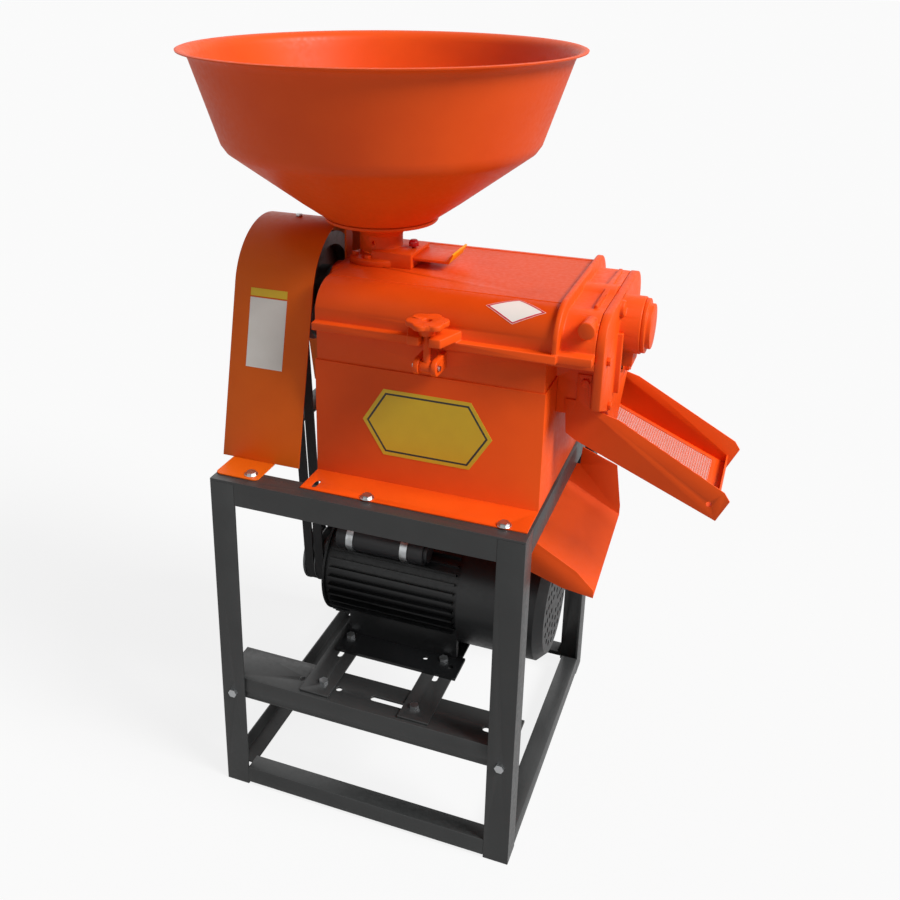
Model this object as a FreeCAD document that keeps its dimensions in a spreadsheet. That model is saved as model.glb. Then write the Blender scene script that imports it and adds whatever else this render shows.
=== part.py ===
"""Rice huller on an angle-iron stand: hopper, cast milling head, belt drive and motor.

Frame: X runs along the milling shaft towards the rice outlet, Y to the rear, Z up.
The origin is on the floor, below the middle of the machine's overall box.
Lengths are in millimetres.
"""
import FreeCAD, Part
import math
import os

import Sketcher
from FreeCAD import Placement, Rotation, Vector

os.makedirs("parts", exist_ok=True)
doc = FreeCAD.newDocument("RiceHuller")

# ---------------------------------------------------------------- driving dimensions

DIMENSIONS = [
    # stand
    ("stand_left", -312, "X of the stand's left face"),
    ("stand_front", -240, "Y of the stand's front face"),
    ("stand_width", 490, "stand along X"),
    ("stand_depth", 530, "stand along Y"),
    ("stand_height", 572, "floor to the top of the top rails"),
    ("angle_leg", 40, "leg of the angle iron of the legs and top rails"),
    ("angle_wall", 4, "wall of that angle iron"),
    ("low_leg", 30, "leg of the angle iron of the bottom rails"),
    ("low_wall", 3, "wall of the bottom rails"),
    ("low_lift", 5, "underside of the bottom rails above the floor"),
    ("motor_rail_top", 213, "top of the rails that carry the motor"),
    ("motor_rail_depth", 74, "flat flange of a motor rail"),
    ("motor_rail_drop", 38, "upright flange of a motor rail"),
    ("slot_line", 38, "row of slots behind the legs' front flange"),
    ("crossbar_width", 50, "flat flange of a motor crossbar"),
    ("crossbar_drop", 28, "down-turned flange of a crossbar"),
    ("crossbar_wall", 4, "wall of a crossbar"),
    ("crossbar_left_x", -152, "middle of the left crossbar"),
    ("crossbar_right_x", 15, "middle of the right crossbar"),
    # milling head
    ("shaft_z", 817, "height of the milling shaft"),
    ("split_z", 806, "height of the split between base and cover"),
    ("body_left", -170, "left end of the base casting"),
    ("body_right", 172, "right end of the base casting"),
    ("body_half", 154, "half depth of the base casting"),
    ("casting_wall", 8, "wall of the base casting"),
    ("base_bottom", 700, "lower edge of the base casting"),
    ("skirt_wall", 2, "sheet of the skirt"),
    ("skirt_top", 755, "upper edge of the skirt"),
    ("deck_wall", 12, "deck at the split plane"),
    ("trough_half", 46, "half width of the milling trough"),
    ("trough_bottom", 752, "lower edge of the trough walls"),
    ("flange_half", 172, "half depth of the cover's flange"),
    ("cover_flange", 12, "thickness of the cover's flange"),
    ("cover_half", 160, "half depth of the cover above its flange"),
    ("cover_upright", 835, "top of the cover's upright wall"),
    ("roof_z", 872, "flat top of the cover"),
    ("roof_half", 110, "half depth of the flat top"),
    ("shoulder_radius", 50, "round between the cover's front and its top"),
    ("cover_wall", 8, "wall of the cover"),
    ("rib_left", 180, "left side of the cover's end rib"),
    ("rib_width", 8, "end rib along X"),
    ("rib_rise", 8, "end rib above the cover"),
    ("end_length", 46.7, "outlet end of the cover beyond the rib"),
    ("end_half", 147, "half depth of the outlet end"),
    ("end_corner", 47, "corner radius of the outlet end"),
    ("end_roof", 864, "top of the outlet end"),
    ("end_plate_wall", 12, "end plate"),
    ("outlet_half", 86, "half width of the outlet box"),
    ("outlet_wall", 8, "wall of the outlet box"),
    ("outlet_bottom", 700, "lower edge of the outlet box"),
    ("tongue_bottom", 660, "lower tip of the end plate"),
    # shaft group
    ("shaft_radius", 20, "milling shaft"),
    ("run_gap", 0.05, "radial gap of a running fit"),
    ("roller_radius", 30, "milling roller"),
    ("roller_rib", 5, "height of the roller's ribs and of its feed thread"),
    ("roller_left", -150, "left end of the roller"),
    ("roller_length", 370, "roller and feed screw together"),
    ("chamber_radius", 45, "milling chamber in the cover"),
    ("sieve_radius", 42, "inside of the sieve"),
    ("sieve_wall", 1.5, "sheet of the sieve"),
    ("bearing_radius", 33, "outside of the ball bearings"),
    ("bearing_width", 16, "width of the ball bearings"),
    ("flange_radius", 84, "round flange of the left bearing housing"),
    ("housing_radius", 42, "hubs of the bearing housings"),
    ("hub_length", 29, "hub on the end plate along X"),
    # belt drive
    ("pulley_x", -237, "middle of both pulleys"),
    ("main_pulley_radius", 88, "pulley on the milling shaft"),
    ("motor_pulley_radius", 48, "pulley on the motor"),
    ("pulley_width", 44, "pulleys along X"),
    ("groove_pitch", 19, "distance between the two belt grooves"),
    ("groove_depth", 13, "depth of a belt groove"),
    ("groove_width", 17, "groove at the rim"),
    ("groove_floor", 9.5, "groove at its bottom"),
    ("belt_depth", 9, "thickness of a V-belt"),
    ("belt_gap", 0.35, "running gap between belt and groove"),
    ("guard_left", -330, "left edge of the belt guard"),
    ("guard_width", 132, "guard along X"),
    ("guard_radius", 108, "outer radius of the guard's arch"),
    ("guard_foot_half", 168, "half spread of the guard at its feet"),
    ("guard_wall", 2, "sheet of the guard"),
    # motor
    ("motor_y", 5, "motor axis"),
    ("motor_height", 101, "motor axis above the crossbars"),
    ("motor_left", -200, "left end of the finned housing"),
    ("motor_length", 235, "finned housing"),
    ("core_radius", 84, "housing under the fins"),
    ("fin_height", 9, "cooling fins"),
    ("fin_wall", 3.4, "fin thickness"),
    ("fin_count", 36, "cooling fins all round"),
    ("foot_half", 125, "half spread of the motor's feet"),
    ("foot_left", -164, "left end of the feet"),
    ("foot_length", 211, "feet along X"),
    ("foot_wall", 5, "foot plates"),
    ("foot_depth", 55, "foot plates along Y"),
    ("foot_hole", 87, "foot bolts in front of and behind the motor axis"),
    ("shield_wall", 12, "end shields of the motor"),
    ("cowl_radius", 95, "fan cowl"),
    ("cowl_length", 140, "fan cowl along X"),
    ("cowl_wall", 2, "sheet of the cowl"),
    ("motor_shaft_radius", 14, "motor shaft"),
    # hopper
    ("hopper_x", -130, "axis of the neck and the hopper"),
    ("throat_radius", 23, "bore of the neck"),
    ("neck_radius", 33, "outside of the neck"),
    ("neck_flange", 10, "flange of the neck"),
    ("neck_flange_radius", 52, "flange of the neck"),
    ("bell_radius", 85, "rim of the neck's bell"),
    ("bell_z", 940, "seat of the hopper on the bell"),
    ("knee_radius", 236, "hopper at its knee"),
    ("knee_z", 1050, "height of the knee"),
    ("mouth_radius", 276, "hopper at its mouth"),
    ("rim_radius", 295, "outside of the rolled rim"),
    ("rim_z", 1190, "height of the rim"),
    ("hopper_wall", 2, "sheet of the hopper"),
    # feed slide
    ("slide_low", 884, "underside of the feed slide"),
    ("slide_half", 33, "half width of the feed slide"),
    ("slide_wall", 4, "sheet of the feed slide"),
    ("slide_left", -106, "inner end of the feed slide when open"),
    ("slide_length", 94, "feed slide along X"),
    ("lock_x", -77, "lock screw of the feed slide"),
    ("lock_radius", 3, "lock screw of the feed slide"),
    # clamp
    ("clamp_x", 14, "clamp along X"),
    ("clamp_y", -190, "axis of the swing bolt"),
    ("lug_low", 818, "underside of the cover's clamp lug"),
    ("lug_wall", 13, "thickness of the clamp lug"),
    ("stud_radius", 5.05, "swing bolt at the thread root"),
    ("nut_bore", 6, "bore of the hand nut"),
    ("nut_radius", 30, "hand nut"),
    ("clamp_pin_z", 784, "pivot pin of the swing bolt"),
    ("hinge_y", 186, "hinge axis"),
    ("hinge_z", 832, "hinge axis"),
    ("hinge_radius", 10, "hinge knuckles"),
    ("pin_radius", 4, "hinge and clamp pins"),
    ("hinge_x", 105, "hinges left and right of the middle"),
    ("knuckle_width", 30, "knuckles of the cover"),
    ("ear_width", 8, "ears of the base"),
    # tray and chute
    ("tray_wall", 2, "sheet of the separator tray"),
    ("tray_slope", 23.4, "slope of the tray in degrees"),
    ("tray_left", 191, "upper end of the tray"),
    ("tray_tip", 425, "outer end of the tray"),
    ("tray_floor_z", 674, "tray floor at its upper end"),
    ("chute_half", 100, "half width of the bran chute"),
    ("chute_wall", 2, "sheet of the bran chute"),
    ("chute_slope", 28.2, "slope of the bran chute in degrees"),
    ("chute_tilt", 0.16, "rise of the chute floor along Y"),
    ("chute_tip", 252, "outer end of the bran chute"),
    ("chute_tip_z", 434, "height of that end"),
    # fasteners
    ("bolt_radius", 4, "M8 bolts"),
    ("screw_radius", 3, "M6 screws"),
    ("bolt_line", 30, "bolts behind the stand's front face"),
    ("small_gap", 0.3, "clearance between parts that move past each other"),
]

sheet = doc.addObject("Spreadsheet::Sheet", "sizes")
for row, (alias, number, meaning) in enumerate(DIMENSIONS, start=1):
    sheet.set("A%d" % row, str(number))
    sheet.set("B%d" % row, meaning)
    sheet.setAlias("A%d" % row, alias)
doc.recompute()


class Size:
    """A number together with the spreadsheet formula that it comes from."""

    def __init__(self, value, formula):
        self.value = float(value)
        self.formula = formula

    def __add__(self, other):
        other = size(other)
        return Size(self.value + other.value, "(%s + %s)" % (self.formula, other.formula))

    def __sub__(self, other):
        other = size(other)
        return Size(self.value - other.value, "(%s - %s)" % (self.formula, other.formula))

    def __mul__(self, other):
        other = size(other)
        return Size(self.value * other.value, "(%s * %s)" % (self.formula, other.formula))

    def __truediv__(self, other):
        other = size(other)
        return Size(self.value / other.value, "(%s / %s)" % (self.formula, other.formula))

    def __radd__(self, other):
        return size(other) + self

    def __rsub__(self, other):
        return size(other) - self

    def __rmul__(self, other):
        return size(other) * self

    def __neg__(self):
        return Size(-self.value, "(0 - %s)" % self.formula)

    def __float__(self):
        return self.value


def size(thing):
    """Any number as a Size."""
    return thing if isinstance(thing, Size) else Size(thing, "(%.10g)" % thing)


def tangent(angle):
    """Tangent of an angle in degrees."""
    angle = size(angle)
    return Size(math.tan(math.radians(angle.value)), "tan(%s)" % angle.formula)


def cosine(angle):
    """Cosine of an angle in degrees."""
    angle = size(angle)
    return Size(math.cos(math.radians(angle.value)), "cos(%s)" % angle.formula)


class Sizes:
    """The cells of the sheet by their aliases."""

    def __getattr__(self, alias):
        return Size(sheet.get(alias), "sizes." + alias)


S = Sizes()

# ---------------------------------------------------------------- modelling helpers

AXES = {
    "x": Rotation(Vector(0, 1, 0), 90),
    "y": Rotation(Vector(1, 0, 0), -90),
    "z": Rotation(),
}
PLANES = {"xy": "XY_Plane", "xz": "XZ_Plane", "yz": "YZ_Plane"}
nodes = []
count = 0


def unique(word):
    """A fresh internal name."""
    global count
    count += 1
    return "%s_%03d" % (word, count)


def bind(obj, **formulas):
    """Bind properties of an object to formulas; a double underscore stands for a dot."""
    for name, thing in formulas.items():
        obj.setExpression(name.replace("__", "."), size(thing).formula)
    return obj


def move(obj, x=0, y=0, z=0, turn=None):
    """Place an object; its three coordinates stay bound to the sheet."""
    x, y, z = size(x), size(y), size(z)
    obj.Placement = Placement(Vector(float(x), float(y), float(z)), turn or Rotation())
    return bind(obj, Placement__Base__x=x, Placement__Base__y=y, Placement__Base__z=z)


def block(x0, x1, y0, y1, z0, z1):
    """A box between two corners."""
    box = doc.addObject("Part::Box", unique("block"))
    bind(box, Length=size(x1) - x0, Width=size(y1) - y0, Height=size(z1) - z0)
    return move(box, x0, y0, z0)


def rod(axis, start, end, a, b, radius):
    """A cylinder along an axis; a and b are its two other coordinates in X, Y, Z order."""
    body = doc.addObject("Part::Cylinder", unique("rod"))
    bind(body, Radius=radius, Height=size(end) - start)
    spot = {"x": (start, a, b), "y": (a, start, b), "z": (a, b, start)}[axis]
    return move(body, *spot, turn=AXES[axis])


def taper(axis, start, end, a, b, radius_start, radius_end):
    """A cone along an axis."""
    body = doc.addObject("Part::Cone", unique("taper"))
    bind(body, Radius1=radius_start, Radius2=radius_end, Height=size(end) - start)
    spot = {"x": (start, a, b), "y": (a, start, b), "z": (a, b, start)}[axis]
    return move(body, *spot, turn=AXES[axis])


def fuse(*shapes):
    """Union."""
    joined = doc.addObject("Part::MultiFuse", unique("fuse"))
    joined.Shapes = list(shapes)
    return joined


def cut(base, *tools):
    """Base without the tools."""
    result = doc.addObject("Part::Cut", unique("cut"))
    result.Base = base
    result.Tool = tools[0] if len(tools) == 1 else fuse(*tools)
    return result


def common(first, second):
    """Intersection."""
    result = doc.addObject("Part::Common", unique("common"))
    result.Base = first
    result.Tool = second
    return result


def group(*shapes):
    """Separate solids kept together as one node."""
    result = doc.addObject("Part::Compound", unique("group"))
    result.Links = list(shapes)
    return result


def arc_centre(p, q, radius, side):
    """Centre of the short arc from p to q; side 1 puts it left of the chord, -1 right."""
    dx, dy = q[0] - p[0], q[1] - p[1]
    chord = math.hypot(dx, dy)
    reach = math.sqrt(max(radius * radius - chord * chord / 4, 0))
    return ((p[0] + q[0]) / 2 - side * dy / chord * reach, (p[1] + q[1]) / 2 + side * dx / chord * reach)


def draw(body, plane, outlines):
    """A sketch on an origin plane of a body.

    An outline is a list of corners (a, b) or (a, b, radius, side); the last form reaches the
    next corner by an arc. Every corner is bound to the sheet.
    """
    sketch = body.newObject("Sketcher::SketchObject", unique("sketch"))
    origin = [f for f in body.Origin.OriginFeatures if f.Role == PLANES[plane]][0]
    sketch.AttachmentSupport = [(origin, "")]
    sketch.MapMode = "FlatFace"
    for outline in outlines:
        first = sketch.GeometryCount
        corners = [(float(size(c[0])), float(size(c[1]))) for c in outline]
        total = len(outline)
        ends = []
        for i, corner in enumerate(outline):
            p, q = corners[i], corners[(i + 1) % total]
            if len(corner) == 2:
                sketch.addGeometry(Part.LineSegment(Vector(*p, 0), Vector(*q, 0)), False)
                ends.append((1, 2))
                continue
            radius, side = float(size(corner[2])), corner[3]
            centre = arc_centre(p, q, radius, side)
            a0 = math.atan2(p[1] - centre[1], p[0] - centre[0])
            a1 = math.atan2(q[1] - centre[1], q[0] - centre[0])
            start, stop = (a0, a1) if side > 0 else (a1, a0)
            if stop <= start:
                stop += 2 * math.pi
            circle = Part.Circle(Vector(*centre, 0), Vector(0, 0, 1), radius)
            sketch.addGeometry(Part.ArcOfCircle(circle, start, stop), False)
            ends.append((1, 2) if side > 0 else (2, 1))
        for i in range(total):
            j = (i + 1) % total
            sketch.addConstraint(
                Sketcher.Constraint("Coincident", first + i, ends[i][1], first + j, ends[j][0])
            )
        for i, corner in enumerate(outline):
            for kind, thing in (("DistanceX", size(corner[0])), ("DistanceY", size(corner[1]))):
                index = sketch.addConstraint(
                    Sketcher.Constraint(kind, -1, 1, first + i, ends[i][0], float(thing))
                )
                sketch.setExpression("Constraints[%d]" % index, thing.formula)
            if len(corner) == 4:
                index = sketch.addConstraint(
                    Sketcher.Constraint("Radius", first + i, float(size(corner[2])))
                )
                sketch.setExpression("Constraints[%d]" % index, size(corner[2]).formula)
    return sketch


def plate(plane, start, end, *outlines):
    """Outlines padded between two stations on the axis across their plane."""
    body = doc.addObject("PartDesign::Body", unique("body"))
    pad = body.newObject("PartDesign::Pad", unique("pad"))
    pad.Profile = draw(body, plane, outlines)
    pad.Reversed = plane == "xz"
    bind(pad, Length=size(end) - start)
    body.Tip = pad
    spot = {"xy": (0, 0, start), "xz": (0, start, 0), "yz": (start, 0, 0)}[plane]
    return move(body, *spot)


def turned(outline, x=0, y=0, z=0, along="z"):
    """An outline of (radius, height) corners revolved about the vertical sketch axis."""
    body = doc.addObject("PartDesign::Body", unique("body"))
    turn = body.newObject("PartDesign::Revolution", unique("turn"))
    sketch = draw(body, "xz", [outline])
    turn.Profile = sketch
    turn.ReferenceAxis = (sketch, ["V_Axis"])
    turn.Angle = 360
    body.Tip = turn
    return move(body, x, y, z, AXES[along])


def mirrored_y(outline):
    """The outline of one half (first corner and last corner on it) closed by its mirror image."""
    other = []
    total = len(outline)
    for i in range(total - 1, -1, -1):
        corner = outline[i]
        back = outline[i - 1] if i > 0 else None
        spot = (-size(corner[0]), corner[1])
        if back is not None and len(back) == 4:
            other.append(spot + (back[2], back[3]))
        else:
            other.append(spot)
    return list(outline) + other


def angle_iron(plane, start, end, a, b, sign_a, sign_b, leg_a, leg_b, wall):
    """A length of angle iron; (a, b) is its outer corner and the signs say where its legs go."""
    a, b = size(a), size(b)
    outline = [
        (a, b),
        (a + sign_a * leg_a, b),
        (a + sign_a * leg_a, b + sign_b * wall),
        (a + sign_a * wall, b + sign_b * wall),
        (a + sign_a * wall, b + sign_b * leg_b),
        (a, b + sign_b * leg_b),
    ]
    return plate(plane, start, end, outline)


def hexagon(axis, start, end, a, b, across):
    """A hexagonal prism, such as a bolt head; across is its width over the flats."""
    prism = doc.addObject("Part::Prism", unique("hex"))
    prism.Polygon = 6
    bind(prism, Circumradius=size(across) / math.sqrt(3), Height=size(end) - start)
    spot = {"x": (start, a, b), "y": (a, start, b), "z": (a, b, start)}[axis]
    return move(prism, *spot, turn=AXES[axis])


def slot_z(x0, x1, y0, y1, z0, z1):
    """A round-ended slot that goes through in Z, long in X or in Y."""
    x0, x1, y0, y1 = size(x0), size(x1), size(y0), size(y1)
    if float(x1 - x0) > float(y1 - y0):
        r = (y1 - y0) / 2
        return fuse(
            block(x0 + r, x1 - r, y0, y1, z0, z1),
            rod("z", z0, z1, x0 + r, y0 + r, r),
            rod("z", z0, z1, x1 - r, y0 + r, r),
        )
    r = (x1 - x0) / 2
    return fuse(
        block(x0, x1, y0 + r, y1 - r, z0, z1),
        rod("z", z0, z1, x0 + r, y0 + r, r),
        rod("z", z0, z1, x0 + r, y1 - r, r),
    )


def bolt_z(x, y, seat, nut_seat, radius):
    """A vertical bolt: head above seat, nut below nut_seat."""
    radius = size(radius)
    head, nut = radius * 1.3, radius * 1.6
    return fuse(
        hexagon("z", seat, size(seat) + head, x, y, radius * 3.25),
        rod("z", size(nut_seat) - nut - radius, seat, x, y, radius),
        hexagon("z", size(nut_seat) - nut, nut_seat, x, y, radius * 3.25),
    )


def bolt_y(x, z, seat, nut_seat, radius, sign):
    """A bolt along Y: sign -1 puts its head in front of seat, 1 behind it."""
    radius = size(radius)
    head, nut = radius * 1.3, radius * 1.6
    seat, nut_seat = size(seat), size(nut_seat)
    if sign < 0:
        return fuse(
            hexagon("y", seat - head, seat, x, z, radius * 3.25),
            rod("y", seat, nut_seat + nut + radius, x, z, radius),
            hexagon("y", nut_seat, nut_seat + nut, x, z, radius * 3.25),
        )
    return fuse(
        hexagon("y", seat, seat + head, x, z, radius * 3.25),
        rod("y", nut_seat - nut - radius, seat, x, z, radius),
        hexagon("y", nut_seat - nut, nut_seat, x, z, radius * 3.25),
    )


def node(name, obj):
    """Register a finished sub-part; its label is the node's name."""
    obj.Label = name
    nodes.append(obj)
    return obj


# ---------------------------------------------------------------- stand

left, right = S.stand_left, S.stand_left + S.stand_width
front, rear = S.stand_front, S.stand_front + S.stand_depth
top = S.stand_height
wall, leg, bolt = S.angle_wall, S.angle_leg, S.bolt_radius
rail_top = S.motor_rail_top
bar_top = rail_top + S.crossbar_wall
axis_z, split = S.shaft_z, S.split_z
leg_hole_z = rail_top - 30
slot_front, slot_rear = front + S.slot_line, rear - S.slot_line
bolt_front, bolt_rear = front + S.bolt_line, rear - S.bolt_line
skirt_bolts_x = (S.body_left + 103, S.body_right - 33)
guard_bolt_x = S.guard_left + 73
crossbar_bolts_x = (S.crossbar_left_x + 5, S.crossbar_right_x - 7)
motor_z = bar_top + S.motor_height


def span(a, b):
    """Two sizes in rising order."""
    return sorted((size(a), size(b)), key=float)


def build_legs():
    """Four legs of angle iron that end under the flat flange of the top rails."""
    for side, x, sign_x in (("left", left, 1), ("right", right, -1)):
        for end, y, sign_y in (("front", front, 1), ("rear", rear, -1)):
            iron = angle_iron("xy", 0, top - wall, x, y, sign_x, sign_y, leg, leg, wall)
            hole_x = x + sign_x * leg / 2
            hole = rod("y", *span(y - sign_y, y + sign_y * (wall + 1)), hole_x, leg_hole_z, bolt)
            node("stand_leg_%s_%s" % (end, side), cut(iron, hole))


def build_top_rails():
    """Front and rear rails run the full width; the side rails butt between them."""
    for name, y, sign in (("front", front, 1), ("rear", rear, -1)):
        rail = angle_iron("yz", left, right, y, top, sign, -1, leg, leg, wall)
        line = y + sign * S.bolt_line
        tools = [
            rod("z", top - wall - 1, top + 1, x, line, bolt)
            for x in (*skirt_bolts_x, guard_bolt_x)
        ]
        for ends in ((left - 1, left + leg), (right - leg, right + 1)):
            tools.append(block(*ends, *span(y - sign, y + sign * (wall + 1)), top - leg - 1, top - wall))
        node("top_rail_" + name, cut(rail, *tools))
    for name, x, sign in (("left", left, 1), ("right", right, -1)):
        node("top_rail_" + name,
             angle_iron("xz", front + leg, rear - leg, x, top, sign, -1, leg, leg, wall))


def build_bottom_rails():
    """Light angle iron near the floor; the left rail lies the other way up."""
    low, low_wall = S.low_leg, S.low_wall
    under, upper = S.low_lift, S.low_lift + low
    for name, y, sign in (("front", front, 1), ("rear", rear, -1)):
        node("bottom_rail_" + name,
             angle_iron("yz", left + leg, right - leg, y, upper, sign, -1, low, low, low_wall))
    y0, y1 = front + leg, rear - leg
    node("bottom_rail_left", angle_iron("xz", y0, y1, left, under, 1, 1, low, low, low_wall))
    node("bottom_rail_right", angle_iron("xz", y0, y1, right, upper, -1, -1, low, low, low_wall))


def build_motor_rails():
    """Slotted rails bolted behind the legs' flanges."""
    x0, x1 = left + wall, right - wall
    z0, z1 = rail_top - wall - 1, rail_top + 1
    for name, y, sign in (("front", front + wall, 1), ("rear", rear - wall, -1)):
        rail = angle_iron("yz", x0, x1, y, rail_top, sign, -1, S.motor_rail_depth,
                          S.motor_rail_drop, wall)
        line = slot_front if sign > 0 else slot_rear
        tools = [rod("z", z0, z1, x, line, bolt) for x in crossbar_bolts_x]
        for x in (S.crossbar_left_x - 33, S.crossbar_left_x + 32):
            tools.append(rod("z", z0, z1, x, line, 5))
        for start, length in ((S.crossbar_right_x - 80, 59), (S.crossbar_right_x + 104, 40)):
            tools.append(slot_z(start, start + length, line - 5.5, line + 5.5, z0, z1))
        for x in (left + leg / 2, right - leg / 2):
            tools.append(rod("y", *span(y - sign, y + sign * (wall + 1)), x, leg_hole_z, bolt))
        node("motor_rail_" + name, cut(rail, *tools))
    fixings = []
    for x in (left + leg / 2, right - leg / 2):
        fixings.append(bolt_y(x, leg_hole_z, front, front + 2 * wall, bolt, -1))
        fixings.append(bolt_y(x, leg_hole_z, rear, rear - 2 * wall, bolt, 1))
    node("motor_rail_bolts", group(*fixings))


def build_crossbars():
    """Two crossbars on top of the motor rails; their down-turned flanges are coped over them."""
    t = S.crossbar_wall
    half = S.crossbar_width / 2
    z0, z1 = bar_top - t - 1, bar_top + 1
    for name, x, bolt_x in (
        ("left", S.crossbar_left_x, crossbar_bolts_x[0]),
        ("right", S.crossbar_right_x, crossbar_bolts_x[1]),
    ):
        bar = angle_iron("xz", front + 10, rear - 10, x - half, bar_top, 1, -1,
                         S.crossbar_width, S.crossbar_drop, t)
        tools = [rod("z", z0, z1, bolt_x, line, bolt) for line in (slot_front, slot_rear)]
        cope = wall + S.motor_rail_depth + 1
        tools.append(block(x - half - 1, x + half + 1, front, front + cope, rail_top - 40, rail_top))
        tools.append(block(x - half - 1, x + half + 1, rear - cope, rear, rail_top - 40, rail_top))
        for y in (S.motor_y - S.foot_hole, S.motor_y + S.foot_hole):
            tools.append(slot_z(x - 4.5, x + 4.5, y - 50, y + 12, z0, z1))
        node("motor_crossbar_" + name, cut(bar, *tools))
    fixings = [
        bolt_z(x, y, bar_top, rail_top - wall, bolt)
        for x in crossbar_bolts_x for y in (slot_front, slot_rear)
    ]
    node("crossbar_bolts", group(*fixings))


build_legs()
build_top_rails()
build_bottom_rails()
build_motor_rails()
build_crossbars()

# ---------------------------------------------------------------- skirt and base casting

cover_left = S.body_left + 0.5
end_x = S.rib_left + S.rib_width + S.end_length
plate_x = end_x + S.small_gap
plate_end = plate_x + S.end_plate_wall
hub_end = plate_end + S.hub_length
deck = split - S.deck_wall


def build_skirt():
    """Folded sheet skirt with a foot flange in front and behind, open above and below."""
    t = S.skirt_wall
    x0, x1 = S.body_left - t, S.body_right + t
    half = S.body_half + t
    shell = cut(
        block(x0, x1, -half, half, top, S.skirt_top),
        block(S.body_left, S.body_right, -S.body_half, S.body_half, top - 1, S.skirt_top + 1),
    )
    foot_front, foot_rear = bolt_front - 8, bolt_rear + 8
    feet = fuse(
        shell,
        block(x0, x1, foot_front, -half, top, top + t),
        block(x0, x1, half, foot_rear, top, top + t),
    )
    spots = [(x, y) for x in skirt_bolts_x for y in (bolt_front, bolt_rear)]
    holes = [rod("z", top - 1, top + t + 1, x, y, bolt) for x, y in spots]
    slot = slot_z(x0 + 14, x0 + 22, foot_front + 8, foot_front + 30, top - 1, top + t + 1)
    node("base_skirt", cut(feet, slot, *holes))
    rail_bolts.extend(bolt_z(x, y, top + t, top - wall, bolt) for x, y in spots)


def build_base():
    """Base casting: box, deck and trough walls, outlet box, clamp fork and hinge ears."""
    cw = S.casting_wall
    x0, x1, half = S.body_left, S.body_right, S.body_half
    opening = S.trough_half + 5
    outer = cut(
        block(x0, x1, -half, half, S.base_bottom, split),
        block(x0 + cw, x1 - cw, -half + cw, half - cw, S.base_bottom - 1, deck),
        block(x0 + cw, x1 - cw, -opening, opening, deck - 1, split + 1),
    )
    walls = [
        block(x0 + cw, x1 - cw, y, y + cw, S.trough_bottom, deck)
        for y in (-S.trough_half - cw, S.trough_half)
    ]
    end_deck = block(x1, plate_x, -S.end_half, S.end_half, deck, split)
    outlet = [
        block(x1, plate_x, y, y + S.outlet_wall, S.outlet_bottom, deck)
        for y in (-S.outlet_half, S.outlet_half - S.outlet_wall)
    ]
    inner = S.outlet_half - S.outlet_wall
    outlet_mouth = block(x1, plate_x + 1, -inner, inner, deck - 1, split + 1)
    ears = []
    for x in (S.clamp_x - 9 - S.ear_width, S.clamp_x + 9):
        ears.append(block(x, x + S.ear_width, S.clamp_y, -half, S.clamp_pin_z - 12, S.clamp_pin_z + 12))
        ears.append(rod("x", x, x + S.ear_width, S.clamp_y, S.clamp_pin_z, 12))
    gap = S.knuckle_width / 2 + S.small_gap
    for sign in (-1, 1):
        for x in (sign * S.hinge_x - gap - S.ear_width, sign * S.hinge_x + gap):
            ears.append(rod("x", x, x + S.ear_width, S.hinge_y, S.hinge_z, S.hinge_radius))
            ears.append(block(x, x + S.ear_width, half, S.hinge_y + 10, deck - 20, split - 2))
            ears.append(block(x, x + S.ear_width, S.flange_half + 2, S.hinge_y + 10, deck - 20,
                              S.hinge_z))
    solid = fuse(cut(fuse(outer, end_deck), outlet_mouth), *walls, *outlet, *ears)
    tools = [rod("x", S.clamp_x - 20, S.clamp_x + 20, S.clamp_y, S.clamp_pin_z, S.pin_radius)]
    for sign in (-1, 1):
        x = sign * S.hinge_x
        tools.append(rod("x", x - gap - 20, x + gap + 20, S.hinge_y, S.hinge_z, S.pin_radius))
    tools.append(rod("x", x0 - 1, x0 + cw + 1, 0, axis_z, S.shaft_radius + 4))
    tools.append(block(x0 - 1, x0 + cw + 1, -S.shaft_radius - 4, S.shaft_radius + 4, axis_z, split + 30))
    tools.append(rod("x", x1 - cw - 1, x1 + 1, 0, axis_z, S.chamber_radius))
    # the outlet box straddles the skirt's right wall
    tools.append(block(x1, x1 + S.skirt_wall, -S.outlet_half - 1, S.outlet_half + 1,
                       S.outlet_bottom - 1, S.skirt_top))
    knife = S.trough_half + 34
    tools.append(block(x0 + cw, x1 - cw, opening - 1, knife, split - 6, split + 1))
    for x in knife_screws_x:
        tools.append(rod("z", deck - 1, split, x, S.trough_half + 20, S.screw_radius))
    for sign in (-1, 1):
        tools.append(rod("x", plate_x - 30, plate_x + 1, sign * plate_screw_y, split - 6, S.screw_radius))
        tools.append(rod("x", plate_x - 30, plate_x + 1, sign * (S.outlet_half - 4), S.outlet_bottom + 20,
                         S.screw_radius * 0.75))
        tools.append(rod("y", *span(sign * (S.outlet_half - 12), sign * (S.outlet_half + 4)),
                         tray_screw_x, tray_screw_z, S.screw_radius))
        tools.append(rod("x", x0 - 1, x0 + cw + 1, sign * 66, split - 14, S.screw_radius))
    node("base_casting", cut(solid, *tools))


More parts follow.
